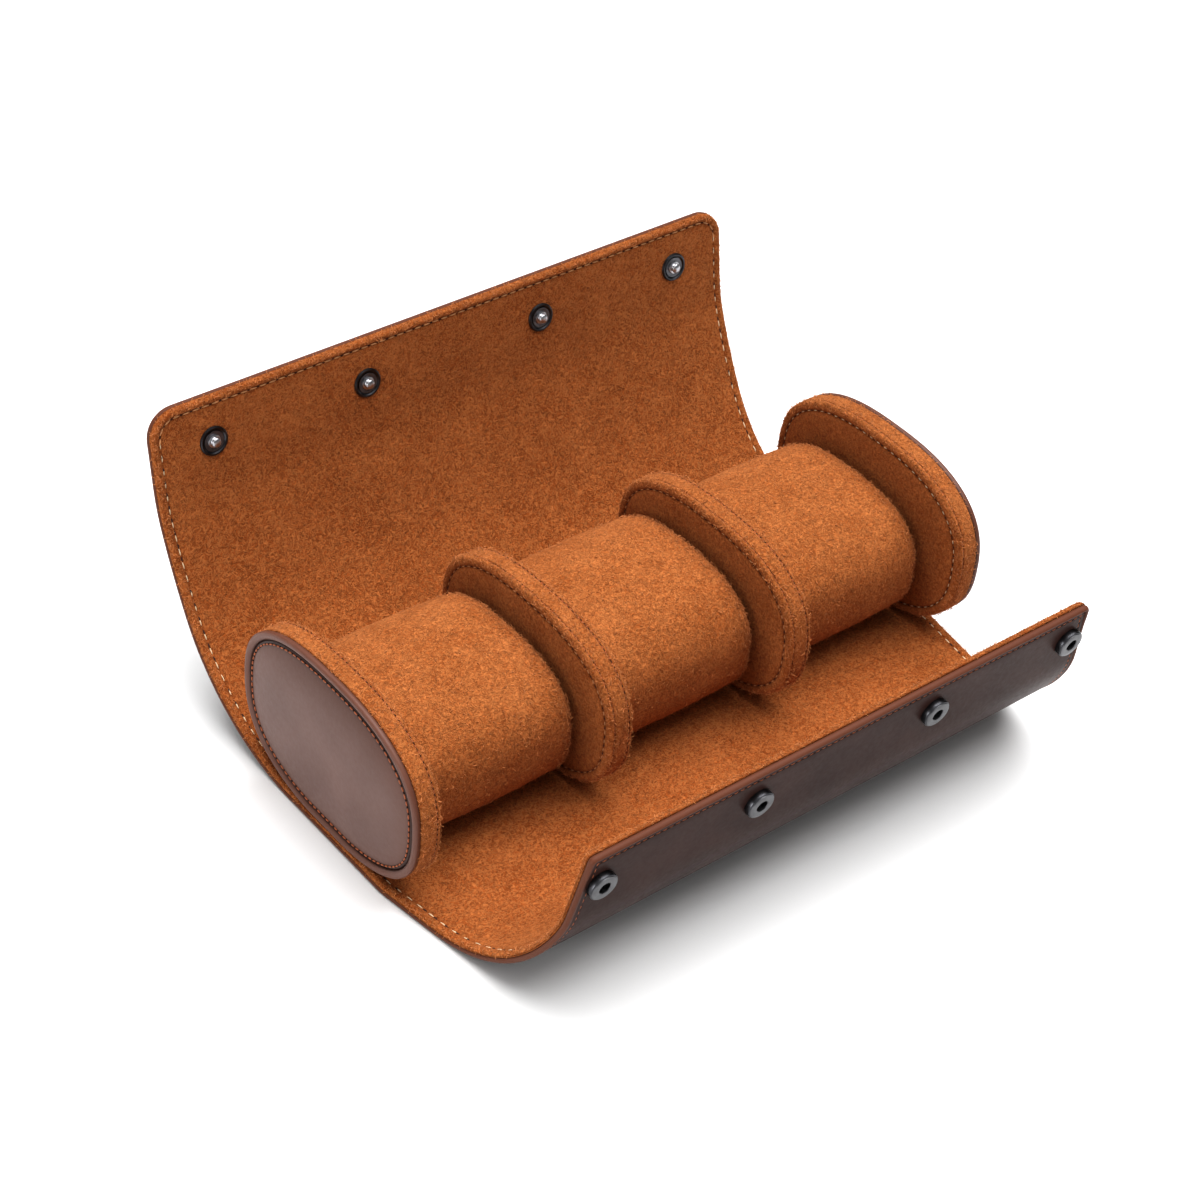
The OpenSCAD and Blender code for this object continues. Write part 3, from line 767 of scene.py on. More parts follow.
@dataclass(frozen=True)
class Flap:
    """One flap's line, seen from the end of the roll, as distance along its inner face.

    From the base on, each stretch curves by its bend in degrees, and then runs straight for its flat.
    """

    name: str
    sign: int
    base: float
    curves: tuple[float, ...]
    bends: tuple[float, ...]
    flats: tuple[float, ...]
    taper: float
    corner: float
    tip_swell: float
    side_swell: float = 0.6
    half_width: float = 105.8

    def stretches(self) -> list[tuple[float, ...]]:
        """Sets out the line from the middle of the base.

        Returns:
            Each stretch as its start along the line, length, Y, Z, heading and turning per millimetre.
        """
        rows = [(-self.base, 2 * self.base, -self.base, WRAP, 0.0, 0.0)]
        at, y, z, heading = self.base, self.base, WRAP, 0.0
        for curve, bend, flat in zip(self.curves, self.bends, self.flats):
            for length, turn in ((curve, math.radians(bend)), (flat, 0.0)):
                if length == 0:
                    continue
                rate = turn / length
                rows.append((at, length, y, z, heading, rate))
                if rate:
                    y += (math.sin(heading + turn) - math.sin(heading)) / rate
                    z += (math.cos(heading) - math.cos(heading + turn)) / rate
                else:
                    y += length * math.cos(heading)
                    z += length * math.sin(heading)
                heading += turn
                at += length
        return rows

    def end(self) -> float:
        """Where the line ends."""
        return self.base + sum(self.curves) + sum(self.flats)

    def fold(self, number: int) -> float:
        """Where a fold lies on the line; fold 0 is at the base."""
        return self.base + sum(self.curves[:number]) + sum(self.flats[:number])

    def line(self, along: np.ndarray) -> tuple[np.ndarray, np.ndarray, np.ndarray]:
        """Follows the line.

        Args:
            along: Places along it.

        Returns:
            Y before mirroring, Z and heading at those places.
        """
        along = np.asarray(along, float)
        y, z, heading = np.zeros_like(along), np.zeros_like(along), np.zeros_like(along)
        for at, _, y0, z0, h0, rate in self.stretches():
            here = along >= at - TINY
            run = along - at
            h = h0 + rate * run
            if rate:
                ys = y0 + (np.sin(h) - math.sin(h0)) / rate
                zs = z0 + (math.cos(h0) - np.cos(h)) / rate
            else:
                ys, zs = y0 + run * math.cos(h0), z0 + run * math.sin(h0)
            y, z, heading = np.where(here, ys, y), np.where(here, zs, z), np.where(here, h, heading)
        return y, z, heading

    def point(self, at: float) -> tuple[float, ...]:
        """Y before mirroring, Z and heading at one place along the line."""
        return tuple(float(values[0]) for values in self.line(np.array([at])))

    def surface(self, x: np.ndarray, along: np.ndarray, depth: np.ndarray | float) -> np.ndarray:
        """Finds points of the wrap, none below the table.

        Args:
            x: Places along the roll.
            along: Places along the line.
            depth: Depth outside the inner face.

        Returns:
            The points.
        """
        y, z, heading = self.line(along)
        high = np.maximum(z - depth * np.cos(heading), 0.0)
        return np.column_stack([np.broadcast_to(x, y.shape), self.sign * (y + depth * np.sin(heading)), high])

    def inward(self, along: np.ndarray) -> np.ndarray:
        """Direction out of the inner face at places along the line."""
        heading = self.line(along)[2]
        return np.column_stack([np.zeros_like(heading), -self.sign * np.sin(heading), np.cos(heading)])

    def half(self, along: np.ndarray | float) -> np.ndarray:
        """Half the width at places along the line."""
        reach = self.end() - self.base
        return self.half_width - self.taper * np.maximum(np.asarray(along, float) - self.base, 0) / reach

    def lean(self) -> float:
        """Angle between a side edge and the line."""
        return math.atan(self.taper / (self.end() - self.base))

    def at_side(self, along: float, inset: float) -> tuple[float, float]:
        """A station inside the right edge, as its X and its place along the line."""
        return float(self.half(along)) - inset / math.cos(self.lean()), along

    def at_corner(self, share: float, inset: float) -> tuple[float, float]:
        """A station inside the tip's right corner.

        Args:
            share: How far round the corner, from 0 at the side to 1 at the tip.
            inset: Distance inside the outline.

        Returns:
            Its X and its place along the line.
        """
        lean, end, corner = self.lean(), self.end(), self.corner
        tip_half = float(self.half(end))
        if inset >= corner:
            return tip_half + (math.tan(lean) - 1 / math.cos(lean)) * inset, end - inset
        centre = tip_half - corner * (1 - math.sin(lean)) / math.cos(lean)
        angle = lean + share * (math.pi / 2 - lean)
        return centre + (corner - inset) * math.cos(angle), end - corner + (corner - inset) * math.sin(angle)

    def fold_point(self, number: int, shift: float) -> Vector:
        """A point in metres on the tangent at a fold, shifted along it by millimetres."""
        y, z, heading = self.point(self.fold(number))
        return Vector((0.0, self.sign * (y + shift * math.cos(heading)), z + shift * math.sin(heading))) * MM


@dataclass(frozen=True)
class Layer:
    """Cross section of one layer of the wrap near its outline, with its marks, and its finish.

    Near and far are the depths of its two sides; plain is the near one where the edge isn't rolled.
    """

    name: str
    finish: Finish
    insets: tuple[float, ...]
    near: tuple[float, ...]
    plain: tuple[float, ...]
    far: tuple[float, ...]
    marks: dict[str, tuple[float, ...]]


LINING = Layer(
    "lining", Finish.LINING,
    insets=(0.08, 0.20, 0.48, 0.95, 1.55, 2.15, 2.60, 2.95, 3.30, 3.70, 4.40, 5.50),
    near=(0.85, 0.40, -0.02, -0.33, -0.45, -0.32, 0.02, 0.28, 0.08, -0.02, 0.0, 0.0),
    plain=(0.60, 0.35, 0.12, 0.02, 0.0, 0.0, 0.0, 0.0, 0.0, 0.0, 0.0, 0.0),
    far=(0.85, 1.12, 1.20, 1.10, 0.98, 0.98, 0.98, 0.98, 0.98, 0.98, 0.98, 0.98),
    # Marks: painted shade in the stitch groove and at the outer edge, and where the fuzz grows.
    marks={
        "groove": (0.6, 0.0, 0.0, 0.0, 0.0, 0.05, 0.3, 0.75, 0.3, 0.05, 0.0, 0.0),
        "nap": (0.5, 1.0, 1.0, 1.0, 0.7, 0.3, 0.0, 0.0, 0.0, 0.0, 0.0, 0.0),
    },
)
SHELL = Layer(
    "leather", Finish.LEATHER,
    insets=(0.0, 0.10, 0.30, 0.60, 0.95, 1.25, 1.50, 1.75, 2.30, 2.75, 2.95, 3.15, 3.50, 5.50),
    near=(2.10, 2.50, 2.84, 3.04, 3.06, 2.94, 2.74, 2.76, 2.80, 2.76, 2.62, 2.76, 2.80, 2.80),
    plain=(2.10, 2.38, 2.65, 2.78, 2.80, 2.80, 2.80, 2.80, 2.80, 2.80, 2.80, 2.80, 2.80, 2.80),
    far=(2.10, 1.70, 1.38, 1.22, 1.12, 1.06, 1.02, 1.02, 1.02, 1.02, 1.02, 1.02, 1.02, 1.02),
    # Marks: painted shade in the stitch grooves, and the burnished rolled edge.
    marks={
        "groove": (0.0, 0.0, 0.0, 0.0, 0.0, 0.1, 0.7, 0.15, 0.0, 0.2, 0.8, 0.2, 0.0, 0.0),
        "burnish": (1.0, 1.0, 1.0, 1.0, 0.9, 0.7, 0.4, 0.15, 0.0, 0.0, 0.0, 0.0, 0.0, 0.0),
    },
)


@dataclass
class FlapSheet:
    """Mesh of one layer of a flap between two cuts, or from a cut to the tip."""

    flap: Flap
    layer: Layer
    start: float
    stop: float
    is_tip: bool
    columns: int = 60
    arc_steps: int = 10
    row: float = 2.6
    near_cut: float = 0.15
    past_corner: float = 0.3
    roll_start: float = 13.0        # the edge is flat this far from the middle of the base
    roll_rise: float = 10.0         # and rolled up over this further stretch
    tip_start: float = 9.0          # the tip's higher roll starts this far from the end
    tip_rise: float = 6.0

    def sides(self) -> list[float]:
        """Places along the line at which a side edge has a station.

        Returns:
            The places, in order.
        """
        corner = max(self.flap.corner, self.layer.insets[-1]) + self.past_corner
        stop = self.stop - (corner if self.is_tip else self.near_cut)
        start = self.start + self.near_cut
        rows = max(round((stop - start) / self.row), 2)
        inner = [start + (stop - start) * k / rows for k in range(rows + 1)]
        return [self.start, *inner] + ([] if self.is_tip else [self.stop])

    def stations(self, inset: float) -> tuple[np.ndarray, np.ndarray, np.ndarray]:
        """Sets out the outline at one inset.

        Args:
            inset: Distance inside the outline.

        Returns:
            The right side, the tip from right to left, and the left side.
        """
        side = [self.flap.at_side(along, inset) for along in self.sides()]
        if not self.is_tip:
            right = np.array(side)
            return right, np.empty((0, 2)), right * (-1, 1)
        arc = [self.flap.at_corner(k / self.arc_steps, inset) for k in range(self.arc_steps + 1)]
        middle = self.arc_steps // 2
        right = np.array(side + arc[: middle + 1])
        straight = self.columns - 2 * (self.arc_steps - middle)
        last = arc[-1]
        run = [(last[0] * (1 - 2 * k / straight), last[1]) for k in range(1, straight)]
        top = arc[middle:] + run + [(-x, along) for x, along in reversed(arc[middle:])]
        return right, np.array(top), right * (-1, 1)

    def across(self, corner: np.ndarray) -> np.ndarray:
        """A straight row from a right-hand station to its mirror."""
        share = np.linspace(0, 1, self.columns + 1)
        return np.column_stack([corner[0] * (1 - 2 * share), np.full(len(share), corner[1])])

    def patch(self) -> tuple[Loft, list[int]]:
        """One face of the sheet, laid flat: rings along its outline, then a grid that fills them.

        Returns:
            The flat surface, and the ring that each point belongs to.
        """
        rings = [self.stations(inset) for inset in self.layer.insets]
        loft, ring_of, strips = Loft(), [], []
        for number, (right, top, left) in enumerate(rings):
            rows = [np.vstack([right, top[1:-1], left[::-1]])] if self.is_tip else [right, left[::-1]]
            strips.append([loft.row(row) for row in rows])
            ring_of += [number] * sum(len(row) for row in rows)
        for outer, inner in zip(strips, strips[1:]):
            for first, second in zip(outer, inner):
                loft.join(first, second)
        right, top, left = rings[-1]
        bottom = self.across(right[0])
        top = top if self.is_tip else self.across(right[-1])
        run = lengths(right)
        share = np.linspace(0, 1, self.columns + 1)[:, None]
        grid = []
        for number, v in enumerate(run / run[-1]):
            row = (1 - v) * bottom + v * top + (1 - share) * right[number] + share * left[number]
            corners = (1 - v) * ((1 - share) * right[0] + share * left[0])
            corners = corners + v * ((1 - share) * right[-1] + share * left[-1])
            grid.append(loft.row(row - corners))
        for lower, upper in zip(grid, grid[1:]):
            loft.join(lower, upper)
        ring_of += [len(rings) - 1] * (len(loft.points) - len(ring_of))
        return loft, ring_of

    def cut_row(self, places: np.ndarray, where: float) -> list[int]:
        """Numbers of the places on a cut, without doubles.

        Args:
            places: The flat places.
            where: The cut's place along the line.

        Returns:
            The numbers, from one side to the other.
        """
        on_cut = np.nonzero(np.abs(places[:, 1] - where) < TINY)[0]
        order = on_cut[np.argsort(places[on_cut, 0], kind="stable")]
        keep = [order[0]]
        for number in order[1:]:
            if places[number, 0] - places[keep[-1], 0] > TINY:
                keep.append(number)
        return keep

    def swell(self, along: np.ndarray) -> np.ndarray:
        """Height of the rolled edge, which fades out under the caps and grows to the tip.

        Args:
            along: Places along the line.

        Returns:
            The share of the layer's rolled section at each place.
        """
        rise = np.clip((np.abs(along) - self.roll_start) / self.roll_rise, 0, 1)
        near_tip = np.clip((along - self.flap.end() + self.tip_start) / self.tip_rise, 0, 1)
        side = self.flap.side_swell
        return rise * rise * (3 - 2 * rise) * (side + (self.flap.tip_swell - side) * near_tip)

    def build(self, name: str) -> Object:
        """Makes the closed sheet.

        Args:
            name: Name of the piece.

        Returns:
            The piece.
        """
        loft, ring_of = self.patch()
        places = np.array(loft.points)
        along, count = places[:, 1], len(places)
        roll = self.swell(along)
        near, plain, far = (np.array(row)[ring_of] for row in (self.layer.near, self.layer.plain, self.layer.far))
        sides = [self.flap.surface(places[:, 0], along, depth) for depth in (plain + (near - plain) * roll, far)]
        faces = loft.faces + [tuple(k + count for k in reversed(face)) for face in loft.faces]
        for where in [self.start] + ([] if self.is_tip else [self.stop]):
            row = self.cut_row(places, where)
            faces.extend((a, b, b + count, a + count) for a, b in zip(row, row[1:]))
        marks = {}
        for mark, values in self.layer.marks.items():
            # The painted shade in a groove grows as the rolled edge swells.
            on_near = np.array(values)[ring_of] * (np.minimum(roll, 1) if mark == "groove" else 1)
            marks[mark] = np.concatenate([on_near, on_near * (mark != "nap")])
        return piece(name, np.vstack(sides), faces, self.layer.finish, marks=marks)


@dataclass
class Wrap:
    """The stiffened wrap: leather outside, suede lining inside, in pieces that each span one fold."""

    sewing: Sewing
    nap: Nap
    back: Flap = Flap(
        "back", 1, base=18.0, curves=(26.5, 36.0, 26.0, 13.0), bends=(24.0, 35.0, 8.0, 13.0),
        flats=(0.0, 0.0, 0.0, 24.0), taper=0.0, corner=9.0, tip_swell=1.4,
    )
    front: Flap = Flap(
        "front", -1, base=27.0, curves=(0.0, 33.0, 21.0, 7.0), bends=(0.0, 46.0, 22.0, 14.0),
        flats=(20.0, 0.0, 0.0, 22.0), taper=15.0, corner=2.0, tip_swell=2.0,
    )
    side_stitch: Stitch = Stitch(4.0, (2.2, 0.45, 0.5), (1.5, 0.65, 0.45))
    tip_stitch: Stitch = Stitch(3.2, (2.3, 0.46, 0.6), (0.7, 0.45, 0.4))
    outer_stitch: Stitch = Stitch(2.2, (1.55, 0.36, 0.4), (0.5, 0.34, 0.3))
    stitch_inset: float = 2.95
    side_depth: float = 0.15
    tip_depth: float = 0.02
    outer_depth: float = 2.66
    first_stitch: float = 16.0      # the side stitches start here, under the caps
    corner_room: float = 1.0
    side_points: int = 60
    tip_points: int = 300
    corner_steps: int = 16
    spread_share: float = 0.97

    def bodies(self, flap: Flap) -> list[str]:
        """The bodies along a flap, from the base to its tip."""
        return ["base", *(f"{flap.name}_panel_{k}" for k in (1, 2, 3)), f"{flap.name}_tip"]

    def cuts(self, flap: Flap) -> list[float]:
        """Where a flap's sheets are cut: in the middle of the base and of each panel but the tip."""
        middle = flap.sign * (self.back.base - self.front.base) / 2
        return [middle, *((flap.fold(k) + flap.fold(k + 1)) / 2 for k in range(TIP)), flap.end()]

    def bend(self, obj: Object, flap: Flap, number: int) -> None:
        """Works out how widely a piece could bend at a fold, as the cuts beside the fold allow, and bakes the
        piece's place into its mesh; no bend is set up.

        Args:
            obj: The piece.
            flap: Its flap.
            number: The fold's number, from 0 at the base.
        """
        y0, z0, heading = flap.point(flap.fold(number))
        spans = []
        for cut in self.cuts(flap)[number:number + 2]:
            y, z, _ = flap.point(cut)
            spans.append(abs((y - y0) * math.cos(heading) + (z - z0) * math.sin(heading)))
        spread = self.spread_share * min(spans)
        start, end = flap.fold_point(number, -spread), flap.fold_point(number, spread)
        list(self.bodies(flap)[number:number + 2])
        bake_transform(obj)

    def side_runs(self, flap: Flap, number: int, depth: float, pitch: float, facing: int) -> list[Run]:
        """Paths of the stitches along both side edges of a sheet.

        Args:
            flap: The flap.
            number: The sheet's number.
            depth: Depth of the thread.
            pitch: Distance between stitches.
            facing: 1 for stitches that show inside, and -1 for those that show outside.

        Returns:
            The left path and the right one.
        """
        cuts = self.cuts(flap)
        start = max(cuts[number], self.first_stitch) + pitch / 2
        stop = cuts[number + 1] - (flap.corner + self.corner_room if number == TIP else pitch / 2)
        along = np.linspace(start, stop, self.side_points)
        half = flap.half(along) - self.stitch_inset
        return [(flap.surface(side.value * half, along, depth), facing * flap.inward(along)) for side in Side]

    def tip_runs(self, flap: Flap, depth: float, facing: int) -> list[Run]:
        """Path of the stitches round the tip, between the ends of the side stitches.

        Args:
            flap: The flap.
            depth: Depth of the thread.
            facing: 1 for stitches that show inside, and -1 for those that show outside.

        Returns:
            The one path.
        """
        steps = self.corner_steps
        arc = [flap.at_corner(k / steps, self.stitch_inset) for k in range(steps + 1)]
        run = np.array(arc + [(-x, along) for x, along in reversed(arc)])
        length = lengths(run)
        keep = np.concatenate([[True], np.diff(length) > TINY])
        at = np.linspace(0, length[-1], self.tip_points)
        x, along = (np.interp(at, length[keep], run[keep, axis]) for axis in range(2))
        return [(flap.surface(x, along, depth), facing * flap.inward(along))]

    def stitches(self, flap: Flap, number: int) -> list[Object]:
        """The stitches of one sheet, inside and outside.

        Args:
            flap: The flap.
            number: The sheet's number.

        Returns:
            Threads and slots.
        """
        side, tip, outer = self.side_stitch, self.tip_stitch, self.outer_stitch
        seams = [
            ("lining", self.side_runs(flap, number, self.side_depth, side.pitch, 1), side, Finish.CREAM),
            ("leather", self.side_runs(flap, number, self.outer_depth, outer.pitch, -1), outer, Finish.RUST),
        ]
        if number == TIP:
            seams += [
                ("lining_edge", self.tip_runs(flap, self.tip_depth, 1), tip, Finish.TAN),
                ("leather_edge", self.tip_runs(flap, self.outer_depth, -1), outer, Finish.RUST),
            ]
        made = []
        for word, *seam in seams:
            made += self.sewing.sew(f"{flap.name}_sheet_{number + 1}_{word}", *seam)
        return made

    def build(self) -> None:
        """Makes every sheet, its fuzz and its stitches."""
        for flap in (self.back, self.front):
            cuts = self.cuts(flap)
            for number in range(TIP + 1):
                name = f"{flap.name}_sheet_{number + 1}"
                bodies = [self.bodies(flap)[number + 1]] + (["base"] if number == 0 else [])
                made = []
                for layer in (LINING, SHELL):
                    sheet = FlapSheet(flap, layer, cuts[number], cuts[number + 1], number == TIP)
                    made.append(sheet.build(f"{name}_{layer.name}"))
                    settle(made[-1], layer.name, *(f"{body}_{layer.name}" for body in bodies))
                    if layer is LINING:
                        made.append(self.nap.grow(f"{name}_fuzz", made[0]))
                        settle(made[-1], "lining")
                for obj in self.stitches(flap, number):
                    settle(obj, "leather" if "leather" in obj.name else "lining")
                    made.append(obj)
                for obj in made:
                    self.bend(obj, flap, number)


@dataclass(frozen=True)
class Section:
    """A cross section of a cap or divider.

    Each row has its place across, its inset from the oval and, unless it is 1, its scale. Marks and
    upper have a value for each row; upper is painted shade, how much darker it is made at the top of the oval.
    """

    rows: tuple[tuple[float, ...], ...]
    marks: dict[str, tuple[float, ...]]
    upper: tuple[float, ...] = ()
    is_ring: bool = False


# A suede face, from its free side at 0 to its seam with the band at 1.5.
FACE = Section(
    rows=(
        (-0.18, 6.0, 0.30), (-0.18, 6.0, 0.70), (-0.16, 6.0), (-0.10, 4.6), (-0.02, 3.8), (0.12, 3.4),
        (0.36, 3.05), (0.12, 2.7), (-0.02, 2.2), (0.0, 1.6), (0.10, 1.1), (0.28, 0.65), (0.55, 0.28),
        (0.85, 0.06), (1.15, 0.0), (1.36, 0.08), (1.50, 0.35), (1.56, 0.75), (1.56, 3.0), (1.56, 6.0, 0.5),
    ),
    # Marks: painted shade at the stitch line and at the seam with the band, and where the fuzz grows.
    marks={
        "groove": (0, 0, 0, 0, 0.1, 0.6, 1, 0.6, 0.1, 0, 0, 0, 0, 0, 0, 0.2, 0.8, 1, 1, 1),
        "nap": (0, 0, 0, 0, 0, 0, 0, 0, 0.3, 0.6, 1, 1, 1, 1, 1, 0.5, 0, 0, 0, 0),
    },
)
# The band between two seams, crowned a little, as shares of its width.
BAND = Section(
    rows=(
        (0.0, 0.8), (0.012, 0.38), (0.05, 0.12), (0.11, 0.0), (0.2, -0.06), (0.35, -0.1), (0.5, -0.12),
        (0.65, -0.1), (0.8, -0.06), (0.89, 0.0), (0.95, 0.12), (0.988, 0.38), (1.0, 0.8), (1.0, 1.3), (0.0, 1.3),
    ),
    # Marks: painted shade at the two seams, and where the fuzz grows.
    marks={
        "groove": (1, 0.8, 0.2, 0, 0, 0, 0, 0, 0, 0, 0.2, 0.8, 1, 1, 1),
        "nap": (0, 0.5, 1, 1, 0.5, 0.3, 0.3, 0.3, 0.5, 1, 1, 0.5, 0, 0, 0),
    },
    is_ring=True,
)
# The rolled rim of an end cap, and the padded leather inside it, from the cap's outer side at 0.
RIM = Section(
    rows=(
        (-1.50, 0.30), (-1.10, 0.06), (-0.60, -0.02), (-0.10, 0.06), (0.22, 0.36), (0.40, 0.80),
        (0.40, 1.20), (0.22, 1.70), (-0.06, 2.15), (-0.42, 2.50), (-1.45, 2.60),
    ),
    # Marks: painted shade where the rim meets the band and the pad, and the burnished rim.
    marks={
        "groove": (0.6, 0.1, 0, 0, 0, 0, 0, 0, 0.1, 0.8, 1),
        "burnish": (1, 1, 1, 1, 0.9, 0.8, 0.7, 0.7, 0.7, 0.7, 0.7),
    },
    is_ring=True,
)
COVER = Section(
    rows=(
        (1.10, 13.0, 0.15), (1.08, 13.0, 0.45), (1.00, 13.0, 0.75), (0.88, 13.0), (0.72, 10.5), (0.48, 8.0),
        (0.22, 6.2), (0.04, 5.1), (-0.08, 4.4), (-0.20, 3.9), (-0.24, 3.55), (-0.36, 3.05), (-0.80, 2.66),
        (-1.40, 2.62), (-1.40, 6.0, 0.5),
    ),
    # Marks: painted shade that deepens towards the rim, where the rim shades the pad.
    marks={
        "groove": (0, 0, 0, 0, 0, 0, 0.02, 0.08, 0.25, 0.6, 0.8, 1, 1, 1, 1),
        "burnish": (0, 0, 0, 0, 0.05, 0.15, 0.3, 0.45, 0.6, 0.7, 0.7, 0.7, 0.7, 0.7, 0.7),
    },
    # Painted shade, darker at the top of the oval.
    upper=(0, 0.1, 0.3, 0.55, 0.75, 0.9, 1, 1, 1, 1, 1, 0, 0, 0, 0),
)


@dataclass
class Wall:
    """What caps and dividers share: an oval, its suede faces, its band and its seams."""

    sewing: Sewing
    nap: Nap
    name: str
    middle_x: float
    oval: Oval
    thickness: float
    face_depth: float = 1.5
    face_stitch: Stitch = Stitch(3.2, (1.3, 0.30, 0.40), (0.8, 0.36, 0.35))
    face_stitch_at: tuple[float, float] = (0.22, 3.05)      # depth and inset of the thread
    seam_stitch: Stitch = Stitch(1.9, (1.1, 0.3, 0.25), (0.7, 0.35, 0.3))
    seam_inset: float = 0.28
    # How much of the painted top shade each mark takes.
    upper_shade_share: dict[str, float] = field(default_factory=lambda: {"groove": 0.5, "burnish": 0.85})

    def solid(self, name: str, section: Section, at: float, unit: float, finish: Finish) -> Object:
        """Makes a closed solid from a section.

        Args:
            name: Name of the piece.
            section: The section.
            at: Where its rows start along the roll.
            unit: Millimetres along the roll for each unit across the section.
            finish: Finish of the piece.

        Returns:
            The new piece.
        """
        loft, middle = Loft(), self.oval.middle
        rings = [self.oval.ring(at + unit * across, *rest) for across, *rest in section.rows]
        ends = () if section.is_ring else [(ring[0, 0], *middle) for ring in (rings[0], rings[-1])]
        loft.skin(rings, ends)
        marks = {mark: np.repeat(values, self.oval.count) for mark, values in section.marks.items()}
        # Painted shade: the rows darken towards the top of the oval.
        if section.upper:
            rise = (self.oval.ring(0.0, 0.0)[:, 2] - middle[1]) / self.oval.half_height
            top_shade = np.outer(section.upper, np.clip(rise, 0, 1) ** 2).ravel()
            marks = {mark: values + self.upper_shade_share[mark] * top_shade for mark, values in marks.items()}
        if ends:
            marks = {mark: np.append(values, [values[0], values[-1]]) for mark, values in marks.items()}
        return piece(name, loft.points, loft.faces, finish, marks=marks)

    def suede(self, name: str, section: Section, at: float, unit: float, node: str) -> None:
        """Makes a suede piece and its fuzz.

        Args:
            name: Name of the piece.
            section: Its section.
            at: Where its rows start along the roll.
            unit: Millimetres along the roll for each unit across the section.
            node: The CAD node that it replaces.
        """
        obj = self.solid(name, section, at, unit, Finish.EDGING)
        settle(obj, "suede", node, body="base")
        settle(self.nap.grow(f"{name}_fuzz", obj), "suede", body="base")

    def sew(self, name: str, x: float, inset: float, stitch: Stitch, thread: Finish, slot: str = "suede",
            facing: int = 0) -> None:
        """Sews once round the oval.

        Args:
            name: Name of the seam.
            x: Its place along the roll.
            inset: Its inset from the oval.
            stitch: Its stitches.
            thread: Finish of the thread.
            slot: Slot of its pieces.
            facing: Which way its surface faces along X; 0 for the edge, which faces outwards all round.
        """
        path, pitch = self.oval.track(x, inset, stitch.pitch)
        up = np.tile((float(facing), 0.0, 0.0), (len(path), 1))
        if not facing:
            along = np.gradient(path, axis=0)
            up = np.column_stack([np.zeros(len(path)), along[:, 2], -along[:, 1]])
            up = up / np.linalg.norm(up, axis=1)[:, None]
        for obj in self.sewing.sew(name, [(path, up)], stitch, thread, pitch):
            settle(obj, slot, body="base")

    def face(self, name: str, free_x: float, facing: int, node: str, thread: Finish) -> None:
        """Makes a suede face and its stitches.

        Args:
            name: Name of the piece.
            free_x: Where its free side is.
            facing: Which way the free side faces along X.
            node: The CAD node that it replaces.
            thread: Finish of its stitches.
        """
        self.suede(name, FACE, free_x, -facing, node)
        depth, inset = self.face_stitch_at
        self.sew(name, free_x - facing * depth, inset, self.face_stitch, thread, facing=facing)

    def seam(self, name: str, x: float) -> None:
        """Lays the dark stitches of a seam round the edge."""
        self.sew(name, x, self.seam_inset, self.seam_stitch, Finish.RUST)


@dataclass
class Divider(Wall):
    """A divider between two bays."""

    def build(self) -> None:
        """Makes both faces, the band and the seams."""
        half = self.thickness / 2
        for side in Side:
            word, facing = side.name.lower(), side.value
            face_x = self.middle_x + facing * half
            name = f"{self.name}_{word}_face"
            self.face(name, face_x, facing, name, Finish.TAN)
            self.seam(f"{self.name}_{word}_seam", face_x - facing * self.face_depth)
        width = self.thickness - 2 * self.face_depth
        self.suede(f"{self.name}_edge", BAND, self.middle_x - width / 2, width, f"{self.name}_band")


@dataclass
class EndCap(Wall):
    """An end cap: a divider whose outer side is padded leather in a rolled rim."""

    leather_depth: float = 1.5
    rim_stitch: Stitch = Stitch(2.1, (1.55, 0.5, 0.5), (0.62, 0.7, 0.45))
    rim_stitch_at: tuple[float, float] = (0.10, 3.70)       # depth and inset of the thread

    def build(self) -> None:
        """Makes the suede face, the band, the rolled rim and the padded leather."""
        facing = 1 if self.middle_x > 0 else -1
        half = self.thickness / 2
        inner_x, outer_x = self.middle_x - facing * half, self.middle_x + facing * half
        self.face(f"{self.name}_inner_face", inner_x, -facing, f"{self.name}_suede", Finish.CREAM)
        seam_x, rim_x = inner_x + facing * self.face_depth, outer_x - facing * self.leather_depth
        self.seam(f"{self.name}_inner_seam", seam_x)
        low, high = sorted((seam_x, rim_x))
        self.suede(f"{self.name}_edge", BAND, low, high - low, f"{self.name}_band")
        for word, section, node in (("rolled_rim", RIM, "rim"), ("padded_leather", COVER, "leather")):
            obj = self.solid(f"{self.name}_{word}", section, outer_x, facing, Finish.PAD)
            settle(obj, "leather", f"{self.name}_{node}", body="base")
        depth, inset = self.rim_stitch_at
        self.sew(f"{self.name}_leather_seam", outer_x - facing * depth, inset, self.rim_stitch,
                 Finish.RUST, "leather", facing)


